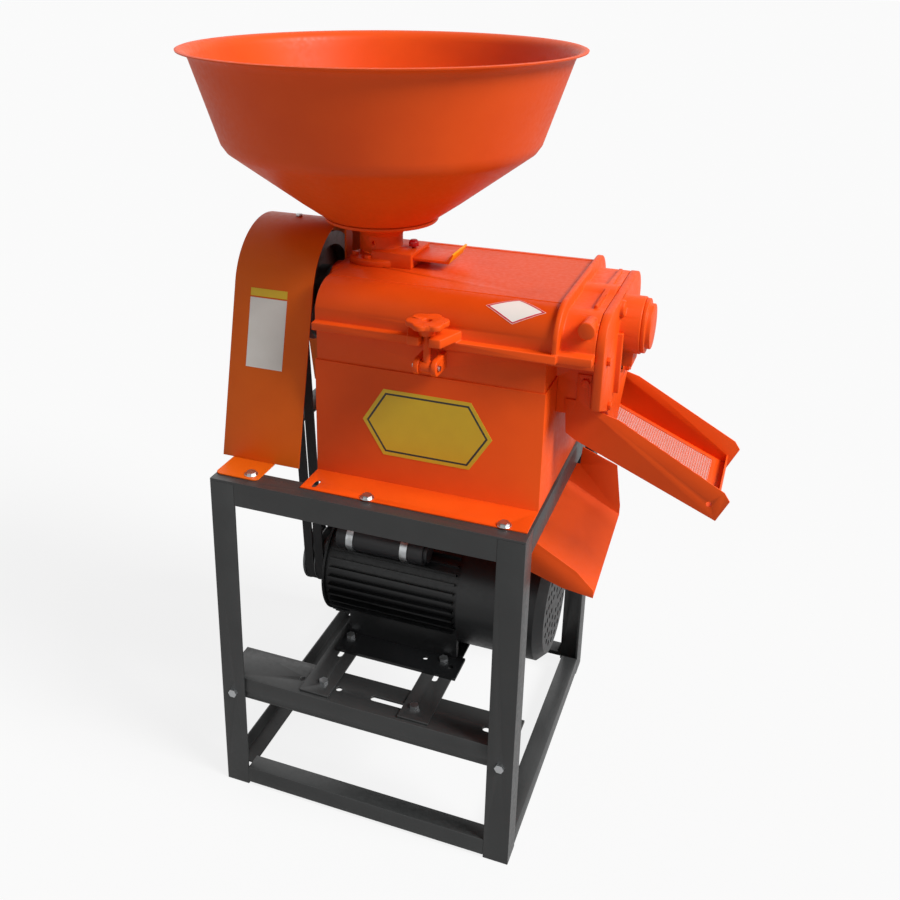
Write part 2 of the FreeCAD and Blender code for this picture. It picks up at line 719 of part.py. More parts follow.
def build_end_plate():
    """End plate: arched above the split, tapering to a tongue below, with the bearing hub."""
    half, up, corner = S.end_half, S.end_roof + 1, S.end_corner
    outline = mirrored_y([
        (size(20), S.tongue_bottom), (size(34), S.tongue_bottom + 12), (size(84), size(712)),
        (half, size(738)), (half, up - corner, corner, 1), (half - corner, up),
    ])
    sheet_metal = plate("yz", plate_x, plate_end, outline)
    hub = rod("x", plate_end, hub_end, 0, axis_z, S.housing_radius)
    lug = block(plate_end, plate_end + 20, -22, 22, axis_z - 58, axis_z - 30)
    boss = rod("x", plate_end, plate_end + 6, -38, axis_z + 34, 12)
    ribs = [
        block(plate_end, plate_end + 8, y - 4, y + 4, axis_z - 90, axis_z)
        for y in (-46, 46)
    ]
    seat = hub_end - S.bearing_width
    tools = [
        rod("x", plate_x - 1, hub_end + 1, 0, axis_z, S.shaft_radius + 3),
        rod("x", seat, hub_end + 1, 0, axis_z, S.bearing_radius),
        block(plate_end - 5, plate_end + 1, -20, 20, axis_z - 74, axis_z - 62),
    ]
    for sign in (-1, 1):
        tools.append(rod("x", plate_x - 1, plate_end + 1, sign * plate_screw_y, split - 6, S.screw_radius))
        tools.append(rod("x", plate_x - 1, plate_end + 1, sign * (S.outlet_half - 4),
                         S.outlet_bottom + 20, S.screw_radius))
    node("end_plate", cut(fuse(sheet_metal, hub, lug, boss, *ribs), *tools))
    for sign in (-1, 1):
        for y, z in ((sign * plate_screw_y, split - 6), (sign * (S.outlet_half - 4), S.outlet_bottom + 20)):
            radius = S.screw_radius if float(z) > 780 else S.screw_radius * 0.75
            screws.append(fuse(
                hexagon("x", plate_end, plate_end + 5, y, z, 11),
                rod("x", plate_x - 26, plate_end, y, z, radius),
            ))
    node("bearing_right", ball_bearing(seat))
    # the closed cap covers the nut on the shaft's end
    cap = cut(
        fuse(
            rod("x", hub_end, hub_end + 6, 0, axis_z, S.housing_radius - 2),
            rod("x", hub_end + 6, hub_end + 13, 0, axis_z, S.housing_radius - 9),
        ),
        rod("x", hub_end - 1, hub_end + 11, 0, axis_z, S.shaft_radius + 2),
    )
    node("bearing_cap", cap)


def ball_bearing(x):
    """A sealed ball bearing as one ring with its shield groove."""
    r_in, r_out, w = S.shaft_radius + S.run_gap, S.bearing_radius, S.bearing_width
    ring = cut(rod("x", x, x + w, 0, axis_z, r_out), rod("x", x - 1, x + w + 1, 0, axis_z, r_in))
    mid = (r_in + r_out) / 2
    grooves = [
        cut(
            rod("x", start, start + 1.5, 0, axis_z, mid + 3.5),
            rod("x", start - 1, start + 3, 0, axis_z, mid - 3.5),
        )
        for start in (x - 0.5, x + w - 1)
    ]
    return cut(ring, *grooves)


def build_left_housing():
    """Left bearing housing: a large round flange, flat below, and a hub towards the pulley."""
    flange = cut(
        rod("x", flange_face, S.body_left, 0, axis_z, S.flange_radius),
        block(flange_face - 1, S.body_left + 1, -90, 90, axis_z - 100, S.skirt_top + 2),
        block(flange_face - 1, S.body_left + 1, -90, 90, S.roof_z - 2, axis_z + 100),
    )
    solid = fuse(flange, rod("x", hub_start, flange_face, 0, axis_z, S.housing_radius))
    way = rod("x", hub_start - 1, S.body_left + 1, 0, axis_z, S.shaft_radius + 4)
    seat = rod("x", hub_start - 1, hub_start + S.bearing_width, 0, axis_z, S.bearing_radius)
    spots = [(sign * 66, split - 14) for sign in (-1, 1)]
    holes = [rod("x", flange_face - 1, S.body_left + 1, y, z, S.screw_radius) for y, z in spots]
    node("bearing_housing_left", cut(solid, way, seat, *holes))
    node("bearing_left", ball_bearing(hub_start))
    screws.extend(
        fuse(
            hexagon("x", flange_face - 5, flange_face, y, z, 11),
            rod("x", flange_face, S.body_left + S.casting_wall, y, z, S.screw_radius),
        )
        for y, z in spots
    )


rail_bolts, screws = [], []
knife_screws_x = (-100, 0, 100)
plate_screw_y = size(118)
tray_screw_x, tray_screw_z = size(215), size(752)
flange_face = S.body_left - 14
hub_start = flange_face - 22

build_skirt()
build_base()
build_end_plate()
build_left_housing()

# ---------------------------------------------------------------- milling parts


def build_sieve():
    """Round screen under the roller, with rows of slots and two lips on the trough walls."""
    x0, x1 = S.body_left + S.casting_wall + 1, S.body_right - S.casting_wall - 1
    r_in, r_out = S.sieve_radius, S.sieve_radius + S.sieve_wall
    tube = cut(
        rod("x", x0, x1, 0, axis_z, r_out),
        rod("x", x0 - 1, x1 + 1, 0, axis_z, r_in),
        block(x0 - 1, x1 + 1, -60, 60, deck + 0.2, axis_z + 60),
    )
    reach = (r_out * r_out.value - (axis_z - deck) * (axis_z - deck).value).value ** 0.5
    lips = [
        block(x0, x1, *span(sign * (reach - 1.6), sign * (S.trough_half + 4.5)), deck, deck + S.sieve_wall)
        for sign in (-1, 1)
    ]
    slots = []
    for i in range(9):
        x = x0 + 18 + i * 34
        for y in (-26, -9, 9, 26):
            slots.append(block(x, x + 20, y - 1.2, y + 1.2, axis_z - 60, axis_z - 20))
    node("sieve_screen", cut(fuse(tube, *lips), *slots))


def build_roller():
    """Cast roller: a short feed screw on the left, then lengthwise milling ribs."""
    x0 = S.roller_left
    feed = 110
    core = rod("x", x0, x0 + S.roller_length, 0, axis_z, S.roller_radius)
    ribs = []
    for i in range(6):
        rib = doc.addObject("Part::Box", unique("rib"))
        bind(rib, Length=S.roller_length - feed - 12, Width=6, Height=S.roller_radius + S.roller_rib)
        angle = math.radians(60 * i)
        move(rib, x0 + feed + 6, -3 * math.cos(angle), axis_z + 3 * math.sin(angle),
             Rotation(Vector(1, 0, 0), -60 * i))
        ribs.append(rib)
    outer, inner = float(S.roller_radius + S.roller_rib), float(S.roller_radius) - 2
    pitch, turns = 27.0, 3.5
    helix = Part.makeHelix(pitch, pitch * turns, outer - 3)
    profile = Part.makePolygon([
        Vector(inner, 0, -6), Vector(outer, 0, -3), Vector(outer, 0, 3), Vector(inner, 0, 6),
        Vector(inner, 0, -6),
    ])
    flight = doc.addObject("Part::Feature", unique("flight"))
    flight.Shape = Part.Wire(helix).makePipeShell([profile], True, True)
    flight.Placement = Placement(Vector(0, 0, 0), AXES["x"])
    bind(flight, Placement__Base__x=x0 + 8, Placement__Base__z=axis_z)
    way = rod("x", x0 - 1, x0 + S.roller_length + 1, 0, axis_z, S.shaft_radius)
    node("milling_roller", cut(fuse(core, flight, *ribs), way))


def build_knife():
    """Adjustable huller blade in its recess along the rear edge of the trough."""
    x0, x1 = S.body_left + S.casting_wall + 1, S.body_right - S.casting_wall - 1
    bar = block(x0, x1, S.trough_half + 4, S.trough_half + 33, split - 6, split - 1)
    edge = block(x0, x1, size(38), S.trough_half + 4, split - 4, split - 1)
    holes = [rod("z", split - 8, split + 1, x, S.trough_half + 20, S.screw_radius)
             for x in knife_screws_x]
    node("knife_bar", cut(fuse(bar, edge), *holes))
    screws.extend(
        fuse(
            hexagon("z", split - 1, split + 4, x, S.trough_half + 20, 10),
            rod("z", deck, split - 1, x, S.trough_half + 20, S.screw_radius),
        )
        for x in knife_screws_x
    )


def v_pulley(radius, bore, y, z):
    """A cast pulley with two V grooves, turned about X."""
    w = S.pulley_width
    gp, gd = S.groove_pitch, S.groove_depth
    half_top, half_floor = S.groove_width / 2, S.groove_floor / 2
    radius = size(radius)
    outline = [(size(bore), size(0)), (radius, size(0))]
    for middle in (w / 2 - gp / 2, w / 2 + gp / 2):
        outline += [
            (radius, middle - half_top),
            (radius - gd, middle - half_floor),
            (radius - gd, middle + half_floor),
            (radius, middle + half_top),
        ]
    outline += [(radius, w), (size(bore), w)]
    return turned(outline, S.pulley_x - w / 2, y, z, "x")


def belt(x, y0, z0, r0, y1, z1, r1):
    """One V-belt round two pulleys: a trapezoid swept along two arcs and two straights."""
    depth, gap = float(S.belt_depth), float(S.belt_gap)
    y0, z0, r0, y1, z1, r1 = (float(size(t)) for t in (y0, z0, r0, y1, z1, r1))
    dy, dz = y1 - y0, z1 - z0
    dist = math.hypot(dy, dz)
    base = math.atan2(dz, dy)
    spread = math.acos((r0 - r1) / dist)

    def on(yc, zc, r, angle):
        return Vector(float(x), yc + r * math.cos(angle), zc + r * math.sin(angle))

    a, b = base + spread, base - spread
    p0, q0 = on(y0, z0, r0, a), on(y0, z0, r0, b)
    p1, q1 = on(y1, z1, r1, a), on(y1, z1, r1, b)
    far0, far1 = on(y0, z0, r0, base + math.pi), on(y1, z1, r1, base)
    path = Part.Wire([
        Part.Arc(p0, far0, q0).toShape(),
        Part.LineSegment(q0, q1).toShape(),
        Part.Arc(q1, far1, p1).toShape(),
        Part.LineSegment(p1, p0).toShape(),
    ])
    slope = (float(S.groove_width) - float(S.groove_floor)) / 2 / float(S.groove_depth)
    top_half = float(S.groove_width) / 2 - slope - gap
    low_half = top_half - slope * depth
    out = Vector(0, math.cos(a), math.sin(a))
    side = Vector(1, 0, 0)
    corners = [
        p0 + side * top_half, p0 - side * top_half,
        p0 - side * low_half - out * depth, p0 + side * low_half - out * depth,
    ]
    return path.makePipeShell([Part.makePolygon(corners + corners[:1])], True, True)


def build_drive():
    """Milling shaft, both pulleys, their belts and the nut at the outlet end."""
    r = S.shaft_radius
    start = S.pulley_x - S.pulley_width / 2 - 6
    nut_x = hub_end + 1
    end = nut_x + 9
    collar_x = hub_start + S.bearing_width + S.small_gap
    node("main_shaft", fuse(
        rod("x", start, nut_x, 0, axis_z, r),
        rod("x", nut_x, end, 0, axis_z, 12),
        rod("x", collar_x, collar_x + 4, 0, axis_z, r + 2.5),
    ))
    node("shaft_nut", cut(
        fuse(hexagon("x", nut_x, nut_x + 8, 0, axis_z, 34), rod("x", nut_x, nut_x + 2, 0, axis_z, 19)),
        rod("x", nut_x - 1, end + 1, 0, axis_z, 12),
    ))
    web = 9
    main = v_pulley(S.main_pulley_radius, r, 0, axis_z)
    x0 = S.pulley_x - S.pulley_width / 2
    x1 = x0 + S.pulley_width
    tools = []
    for a, b in ((x0 - 1, S.pulley_x - web / 2), (S.pulley_x + web / 2, x1 + 1)):
        tools.append(cut(
            rod("x", a, b, 0, axis_z, S.main_pulley_radius - S.groove_depth - 8),
            rod("x", a - 1, b + 1, 0, axis_z, 33),
        ))
    node("main_pulley", cut(main, *tools))
    node("motor_pulley", v_pulley(S.motor_pulley_radius, S.motor_shaft_radius, S.motor_y, motor_z))
    loops = []
    for sign in (-1, 1):
        x = S.pulley_x + sign * S.groove_pitch / 2
        piece = doc.addObject("Part::Feature", unique("belt"))
        piece.Shape = belt(x, 0, axis_z, S.main_pulley_radius - 1, S.motor_y, motor_z,
                           S.motor_pulley_radius - 1)
        loops.append(piece)
    node("drive_belts", group(*loops))


build_sieve()
build_roller()
build_knife()
build_drive()

# ---------------------------------------------------------------- belt guard


def build_guard():
    """Arched sheet guard over the belts, its slotted feet and the stay to the left bearing."""
    r, gz, foot, t = S.guard_radius, axis_z, S.guard_foot_half, S.guard_wall
    # the straight legs lean inwards until they run into the arch as tangents
    run, spread = float(gz - top) - 2, float(foot)
    lean = math.pi / 2 - math.atan2(run, spread) - math.asin(float(r) / math.hypot(spread, run))
    cy, cz = math.cos(lean), math.sin(lean)
    x0, x1 = S.guard_left, S.guard_left + S.guard_width
    ty, tz = r * cy, gz + r * cz
    iy, iz = (r - t) * cy, gz + (r - t) * cz
    inner_foot = foot - t * (1 / cy)
    outline = [
        (foot, top + 2), (ty, tz, r, 1), (size(0), gz + r, r, 1), (-ty, tz), (-foot, top + 2),
        (-inner_foot, top + 2), (-iy, iz, r - t, -1), (size(0), gz + r - t, r - t, -1), (iy, iz),
        (inner_foot, top + 2),
    ]
    strip = plate("yz", x0, x1, outline)
    lugs = []
    for sign, edge, line in ((-1, front + 15, bolt_front), (1, rear - 15, bolt_rear)):
        lug = block(x0 + 18, x0 + 90, *span(sign * (foot - 2), edge), top, top + t)
        hole = slot_z(guard_bolt_x - 18, guard_bolt_x + 4, line - 4.5, line + 4.5, top - 1, top + 3)
        lugs.append(cut(lug, hole))
        rail_bolts.append(bolt_z(guard_bolt_x, line, top + t, top - wall, bolt))
    crest = gz + r
    stay_top = crest - t
    spots = (x0 + 60, x1 - 14)
    holes = [rod("z", stay_top - 6, crest + 1, x, 0, S.screw_radius) for x in spots]
    node("belt_guard", cut(fuse(strip, *lugs), *holes))
    hub_top = axis_z + S.housing_radius + S.small_gap
    # the strap's top is rounded like the sheet that it carries
    stay = common(
        fuse(
            block(x0 + 48, flange_face, -12, 12, stay_top - 3.5, stay_top),
            block(flange_face - 2.5, flange_face, -12, 12, hub_top, stay_top),
        ),
        rod("x", x0, flange_face + 1, 0, gz, r - t),
    )
    stay_holes = [rod("z", stay_top - 6, crest + 1, x, 0, S.screw_radius) for x in spots]
    node("guard_stay", cut(stay, *stay_holes))
    screws.extend(
        fuse(
            hexagon("z", crest, crest + 4, x, 0, 10),
            rod("z", stay_top - 5, crest, x, 0, S.screw_radius),
        )
        for x in spots
    )


build_guard()

# ---------------------------------------------------------------- motor

motor_right = S.motor_left + S.motor_length


def ring_x(x0, x1, y, z, r_out, r_in):
    """A ring along X."""
    return cut(rod("x", x0, x1, y, z, r_out), rod("x", size(x0) - 1, size(x1) + 1, y, z, r_in))


def motor_fins():
    """The housing's core with straight fins all round."""
    y, z = S.motor_y, motor_z
    pieces = [rod("x", S.motor_left, motor_right, y, z, S.core_radius)]
    total = int(float(S.fin_count))
    for i in range(total):
        fin = doc.addObject("Part::Box", unique("fin"))
        bind(fin, Length=S.motor_length - 16, Width=S.fin_wall, Height=S.core_radius + S.fin_height)
        angle = 360.0 * i / total
        shift = S.fin_wall * (-math.cos(math.radians(angle)) / 2)
        rise = S.fin_wall * (math.sin(math.radians(angle)) / 2)
        move(fin, S.motor_left + 8, y + shift, z + rise, Rotation(Vector(1, 0, 0), -angle))
        pieces.append(fin)
    return fuse(*pieces)


def build_motor_housing():
    """Finned housing standing on two foot plates."""
    y, z = S.motor_y, motor_z
    x0, x1 = S.foot_left, S.foot_left + S.foot_length
    feet = []
    for sign in (-1, 1):
        outer, inner = y + sign * S.foot_half, y + sign * (S.foot_half - S.foot_depth)
        feet.append(block(x0, x1, *span(outer, inner), bar_top, bar_top + S.foot_wall))
        web_outer = y + sign * (S.foot_half - S.foot_depth + 6)
        feet.append(block(x0 + 6, motor_right - 2, *span(inner - sign * 4, web_outer), bar_top, z - 40))
    bore = rod("x", S.motor_left + 12, motor_right - 12, y, z, S.core_radius - 14)
    ends = rod("x", S.motor_left - 1, motor_right + 1, y, z, S.motor_shaft_radius + 8)
    holes, fixings = [], []
    for x in (S.crossbar_left_x, S.crossbar_right_x):
        for sign in (-1, 1):
            line = y + sign * S.foot_hole
            holes.append(rod("z", bar_top - 1, bar_top + 8, x, line, bolt))
            fixings.append(bolt_z(x, line, bar_top + S.foot_wall, rail_top, bolt))
    for x, line in ((x1 - 62, y - 92), (x1 - 16, y - 100)):
        holes.append(rod("z", bar_top - 1, bar_top + 8, x, line, 5))
    node("motor_housing", cut(fuse(motor_fins(), *feet), bore, ends, *holes))
    node("motor_foot_bolts", group(*fixings))


def build_motor_ends():
    """End shields, fan, cowl, shaft and the two capacitors on top."""
    y, z = S.motor_y, motor_z
    r_shaft, shield_r, sw = S.motor_shaft_radius, S.core_radius + 6, S.shield_wall
    run = r_shaft + S.run_gap
    node("motor_shield_drive", turned([
        (run, size(0)), (size(34), size(0)), (size(40), size(4)), (shield_r - 12, size(4)),
        (shield_r, size(8)), (shield_r, sw), (run, sw),
    ], S.motor_left - sw, y, z, "x"))
    node("motor_shield_fan", turned([
        (run, size(0)), (shield_r, size(0)), (shield_r, size(5)), (shield_r - 20, sw), (run, sw),
    ], motor_right, y, z, "x"))
    t, r, length = S.cowl_wall, S.cowl_radius, S.cowl_length
    shell = turned([
        (shield_r, size(0)), (r, size(0)), (r, length - 14), (r - 14, length), (size(0), length),
        (size(0), length - t), (r - 14 - t, length - t), (r - t, length - 14 - t), (r - t, size(5)),
        (shield_r, size(5)),
    ], motor_right, y, z, "x")
    cowl_end = motor_right + length
    holes = []
    for ring_r, number in ((22, 6), (36, 10), (50, 14), (64, 18)):
        for i in range(number):
            angle = 2 * math.pi * i / number
            holes.append(rod("x", cowl_end - t - 1, cowl_end + 1, y + ring_r * math.cos(angle),
                             z + ring_r * math.sin(angle), 4.5))
    node("motor_cowl", cut(shell, *holes))
    hub_x = motor_right + 70
    fan = [ring_x(hub_x, hub_x + 30, y, z, 26, r_shaft)]
    for i in range(7):
        angle = 360.0 * i / 7
        blade = doc.addObject("Part::Box", unique("blade"))
        bind(blade, Length=28, Width=3, Height=52)
        out = Vector(0, math.sin(math.radians(angle)), math.cos(math.radians(angle))) * 24
        move(blade, hub_x + 1, y + out.y, z + out.z, Rotation(Vector(1, 0, 0), -angle))
        fan.append(blade)
    node("motor_fan", fuse(*fan))
    start = S.pulley_x - S.pulley_width / 2 - 4
    node("motor_shaft", rod("x", start, hub_x + 32, y, z, r_shaft))


def build_capacitors():
    """Two capacitors on top of the motor, each in a band clamp on a saddle."""
    y, z = S.motor_y, motor_z
    rise = S.core_radius + S.fin_height + 25
    x_start = S.motor_left + 26
    cans, clamps = [], []
    for angle, length in ((-38.0, 150), (38.0, 105)):
        s, c = math.sin(math.radians(angle)), math.cos(math.radians(angle))
        cy, cz = y + rise * s, z + rise * c
        cans.append(fuse(
            rod("x", x_start, x_start + length, cy, cz, 22),
            rod("x", x_start + length, x_start + length + 6, cy, cz, 17),
        ))
        for x in (x_start + 18, x_start + length - 38):
            band = ring_x(x, x + 12, cy, cz, 24, 22)
            saddle = doc.addObject("Part::Box", unique("saddle"))
            bind(saddle, Length=12, Width=16, Height=4)
            out = S.core_radius + S.fin_height - 0.5
            spot = (y + out * s - 8 * c, z + out * c + 8 * s)
            move(saddle, x, *spot, Rotation(Vector(1, 0, 0), -angle))
            clamps.append(cut(fuse(band, saddle), rod("x", x - 1, x + 13, cy, cz, 22)))
    node("motor_capacitors", group(*cans))
    node("capacitor_clamps", cut(fuse(*clamps), node_shape("motor_housing")))


def node_shape(name):
    """The registered sub-part with this name."""
    return [n for n in nodes if n.Label == name][0]


build_motor_housing()
build_motor_ends()
build_capacitors()

# ---------------------------------------------------------------- cover


def arch(radius, centre, low):
    """Outline of an arch: upright sides up to the centre height, then a half round."""
    radius = size(radius)
    return [
        (radius, low), (radius, centre, radius, 1), (size(0), centre + radius, radius, 1),
        (-radius, centre), (-radius, low),
    ]


def cover_outline(rise):
    """The cover's section: flange, upright wall, shoulder and flat top, all raised by rise."""
    return mirrored_y([
        (S.flange_half, split), (S.flange_half, split + S.cover_flange),
        (S.cover_half + rise, split + S.cover_flange),
        (S.cover_half + rise, S.cover_upright, S.shoulder_radius + rise, 1),
        (S.roof_half + rise / 4, S.roof_z + rise),
    ])


def build_cover():
    """Cast cover: shell with chamber arch, end rib, outlet end, clamp lug, hinge knuckles."""
    cw, half, corner = S.cover_wall, S.end_half, S.end_corner
    rib_end = S.rib_left + S.rib_width
    wide = plate("yz", cover_left, S.rib_left, cover_outline(size(0)))
    rib = plate("yz", S.rib_left, rib_end, cover_outline(S.rib_rise))
    end = plate("yz", rib_end, end_x, mirrored_y([
        (half, split), (half, S.end_roof - corner, corner, 1), (half - corner, S.end_roof),
    ]))
    ledge = block(rib_end, end_x, -S.flange_half + 6, S.flange_half - 6, split, split + S.cover_flange)
    cavity = plate("yz", cover_left + cw, S.rib_left - 2, mirrored_y([
        (S.cover_half - cw, split - 1), (S.cover_half - cw, S.cover_upright - 2),
        (S.roof_half - 3, S.roof_z - cw),
    ]))
    end_cavity = plate("yz", rib_end - 2, end_x + 1, mirrored_y([
        (half - cw, split - 1), (half - cw, S.end_roof - corner - 2), (half - corner - 3, S.end_roof - cw),
    ]))
    shell = cut(fuse(wide, rib, end, ledge), cavity, end_cavity)
    chamber = plate("yz", cover_left + cw, end_x, arch(S.chamber_radius + cw, axis_z, split))
    throat = common(
        rod("z", split, S.roof_z, S.hopper_x, 0, S.throat_radius + cw),
        block(cover_left, 0, -60, 60, axis_z + 20, S.roof_z),
    )
    boss_x, boss_z = rib_end + 34, S.end_roof - 12
    boss = taper("y", -half - 8, -half + 64, boss_x, boss_z, 12, 8)
    ridge = block(boss_x - 3, boss_x + 3, -half + 54, half - corner - 4, S.end_roof - 2, S.end_roof + 5)
    lug_y, lug_out = -S.cover_half, S.clamp_y - 15
    lug_low, lug_top = S.lug_low, S.lug_low + S.lug_wall
    lug = plate("xy", lug_low, lug_top, [
        (S.clamp_x - 40, lug_y + 4), (S.clamp_x - 24, lug_out), (S.clamp_x + 24, lug_out),
        (S.clamp_x + 40, lug_y + 4),
    ])
    kw = S.knuckle_width
    hinges = []
    for sign in (-1, 1):
        x0, x1 = sign * S.hinge_x - kw / 2, sign * S.hinge_x + kw / 2
        hinges.append(rod("x", x0, x1, S.hinge_y, S.hinge_z, S.hinge_radius))
        hinges.append(block(x0, x1, S.cover_half - 4, S.hinge_y, S.hinge_z - 14, S.hinge_z + 6))
    solid = fuse(shell, chamber, throat, boss, ridge, lug, *hinges)
    stud = S.stud_radius + 2
    tools = [
        plate("yz", cover_left + cw, end_x + 1, arch(S.chamber_radius, axis_z, split - 1)),
        rod("z", axis_z + 20, S.roof_z + 1, S.hopper_x, 0, S.throat_radius),
        block(cover_left - 1, cover_left + cw + 1, -25, 25, split - 1, axis_z),
        rod("x", cover_left - 1, cover_left + cw + 1, 0, axis_z, 25),
        block(S.clamp_x - stud, S.clamp_x + stud, lug_out - 1, S.clamp_y, lug_low - 1, lug_top + 1),
        rod("z", lug_low - 1, lug_top + 1, S.clamp_x, S.clamp_y, stud),
        block(S.clamp_x - 16, S.clamp_x + 16, -S.flange_half - 1, S.clamp_y + 22, split - 1, lug_low),
    ]
    for sign in (-1, 1):
        x = sign * S.hinge_x
        tools.append(rod("x", x - kw, x + kw, S.hinge_y, S.hinge_z, S.pin_radius + S.run_gap))
    for angle in neck_bolt_angles:
        nx, ny = neck_spot(angle)
        tools.append(rod("z", S.roof_z - cw - 1, S.roof_z + 1, nx, ny, S.screw_radius))
    node("cover", cut(solid, *tools))
    node("cover_hinge_pins", group(*[
        rod("x", sign * S.hinge_x - kw / 2 - 12, sign * S.hinge_x + kw / 2 + 12, S.hinge_y, S.hinge_z,
            S.pin_radius)
        for sign in (-1, 1)
    ]))


def neck_spot(angle):
    """Centre of a neck bolt."""
    reach = S.neck_flange_radius - 10
    return (
        S.hopper_x + reach * math.cos(math.radians(angle)),
        reach * math.sin(math.radians(angle)),
    )


def build_clamp():
    """Swing bolt on its pin in the base's fork, and the lobed hand nut above the lug."""
    x, y = S.clamp_x, S.clamp_y
    lug_top = S.lug_low + S.lug_wall
    stud = fuse(
        rod("x", x - 8.5, x + 8.5, y, S.clamp_pin_z, 9),
        rod("z", S.clamp_pin_z, lug_top + 12, x, y, S.stud_radius),
    )
    node("swing_bolt", cut(stud, rod("x", x - 9, x + 9, y, S.clamp_pin_z, S.pin_radius)))
    node("swing_bolt_pin", rod("x", x - 20, x + 20, y, S.clamp_pin_z, S.pin_radius))
    low = lug_top + S.small_gap
    disc = low + 13
    lobe = 11
    lobes = [rod("z", disc, disc + 8, x, y, S.nut_radius - 4)]
    for i in range(6):
        angle = math.radians(60 * i + 20)
        lobes.append(rod("z", disc, disc + 8, x + (S.nut_radius - lobe) * math.cos(angle),
                         y + (S.nut_radius - lobe) * math.sin(angle), lobe))
    nut = fuse(rod("z", low, disc + 1, x, y, 12), *lobes)
    node("hand_nut", cut(nut, rod("z", low - 1, disc + 9, x, y, S.nut_bore)))


neck_bolt_angles = (98, 140, 220, 262)
build_cover()
build_clamp()

# ---------------------------------------------------------------- neck, hopper and feed slide


def build_neck():
    """Cast neck: bolted flange, slide housing, short tube and a wide bell."""
    x, low = S.hopper_x, S.roof_z
    r, outer, bell = S.throat_radius, S.neck_radius, S.bell_z - S.roof_z
    body = turned([
        (r, size(0)), (S.neck_flange_radius, size(0)), (S.neck_flange_radius, S.neck_flange - 2),
        (S.neck_flange_radius - 2, S.neck_flange), (outer, S.neck_flange), (outer, bell - 26),
        (outer + 6, bell - 18), (S.bell_radius, bell - 5), (S.bell_radius + 2, bell - 3),
        (S.bell_radius + 2, bell), (S.bell_radius - 8, bell), (r + 10, bell - 14), (r, bell - 26),
    ], x, 0, low, "z")
    slot_low, slot_high = S.slide_low - S.small_gap, S.slide_low + S.slide_wall + S.small_gap
    guide_top = slot_high + 6
    guide = block(x, S.lock_x + 11, -41, 41, low, guide_top)
    side = S.slide_half + S.small_gap
    tools = [
        rod("z", low - 1, S.bell_z - 20, x, 0, r),
        block(x - r - 2, S.lock_x + 12, -side, side, slot_low, slot_high),
        rod("z", slot_low, guide_top + 1, S.lock_x, 0, S.lock_radius + S.run_gap),
        rod("y", -outer - 2, -r + 2, x, S.bell_z - 36, 3),
        block(x - 60, cover_left + 1, -60, 60, low - 1, low + S.neck_flange + 1),
    ]
    seat = low + S.neck_flange
    fixings = []
    for angle in neck_bolt_angles:
        nx, ny = neck_spot(angle)
        tools.append(rod("z", low - 1, seat + 1, nx, ny, S.screw_radius))
        fixings.append(fuse(
            hexagon("z", seat, seat + 5, nx, ny, 10),
            rod("z", low - S.cover_wall, seat, nx, ny, S.screw_radius),
        ))
    node("hopper_neck", cut(fuse(body, guide), *tools))
    node("neck_bolts", group(*fixings))


def build_hopper():
    """Spun sheet hopper: cone, knee, flaring wall and rolled rim, open at the bottom."""
    low, t = S.bell_z, S.hopper_wall
    z_knee, z_rim = S.knee_z - low, S.rim_z - low
    r0, mouth, rim, knee = S.bell_radius + 2, S.mouth_radius, S.rim_radius, S.knee_radius
    node("hopper", turned([
        (r0, size(0)), (knee, z_knee), (mouth, z_rim - 16), (mouth + 8, z_rim - 6),
        (rim - 3, z_rim - 4), (rim, z_rim - 3), (rim, z_rim - 1), (rim - 3, z_rim),
        (mouth + 6, z_rim - 3), (mouth - t, z_rim - 14), (knee - t, z_knee + 1), (r0 - 2, t),
        (r0 - 9, t), (r0 - 9, size(0)),
    ], S.hopper_x, 0, low, "z"))


def build_slide():
    """Feed slide plate with its bent-up finger lip, and the red-headed lock screw."""
    x0, x1 = S.slide_left, S.slide_left + S.slide_length
    low, up = S.slide_low, S.slide_low + S.slide_wall
    flat = block(x0, x1, -S.slide_half, S.slide_half, low, up)
    lip = plate("xz", -S.slide_half, S.slide_half, [
        (x1 - 2, low), (x1 + 2, low), (x1 + 10, low + 15), (x1 + 7, low + 16), (x1 - 2, up),
    ])
    node("feed_slide", fuse(flat, lip))
    knob = S.slide_low + S.slide_wall + S.small_gap + 9
    node("feed_lock_screw", fuse(
        rod("z", up + S.small_gap, knob, S.lock_x, 0, S.lock_radius),
        rod("z", knob, knob + 7, S.lock_x, 0, 7.5),
        taper("z", knob + 7, knob + 10, S.lock_x, 0, 7.5, 5),
    ))


build_neck()
build_hopper()
build_slide()

# ---------------------------------------------------------------- tray and chute


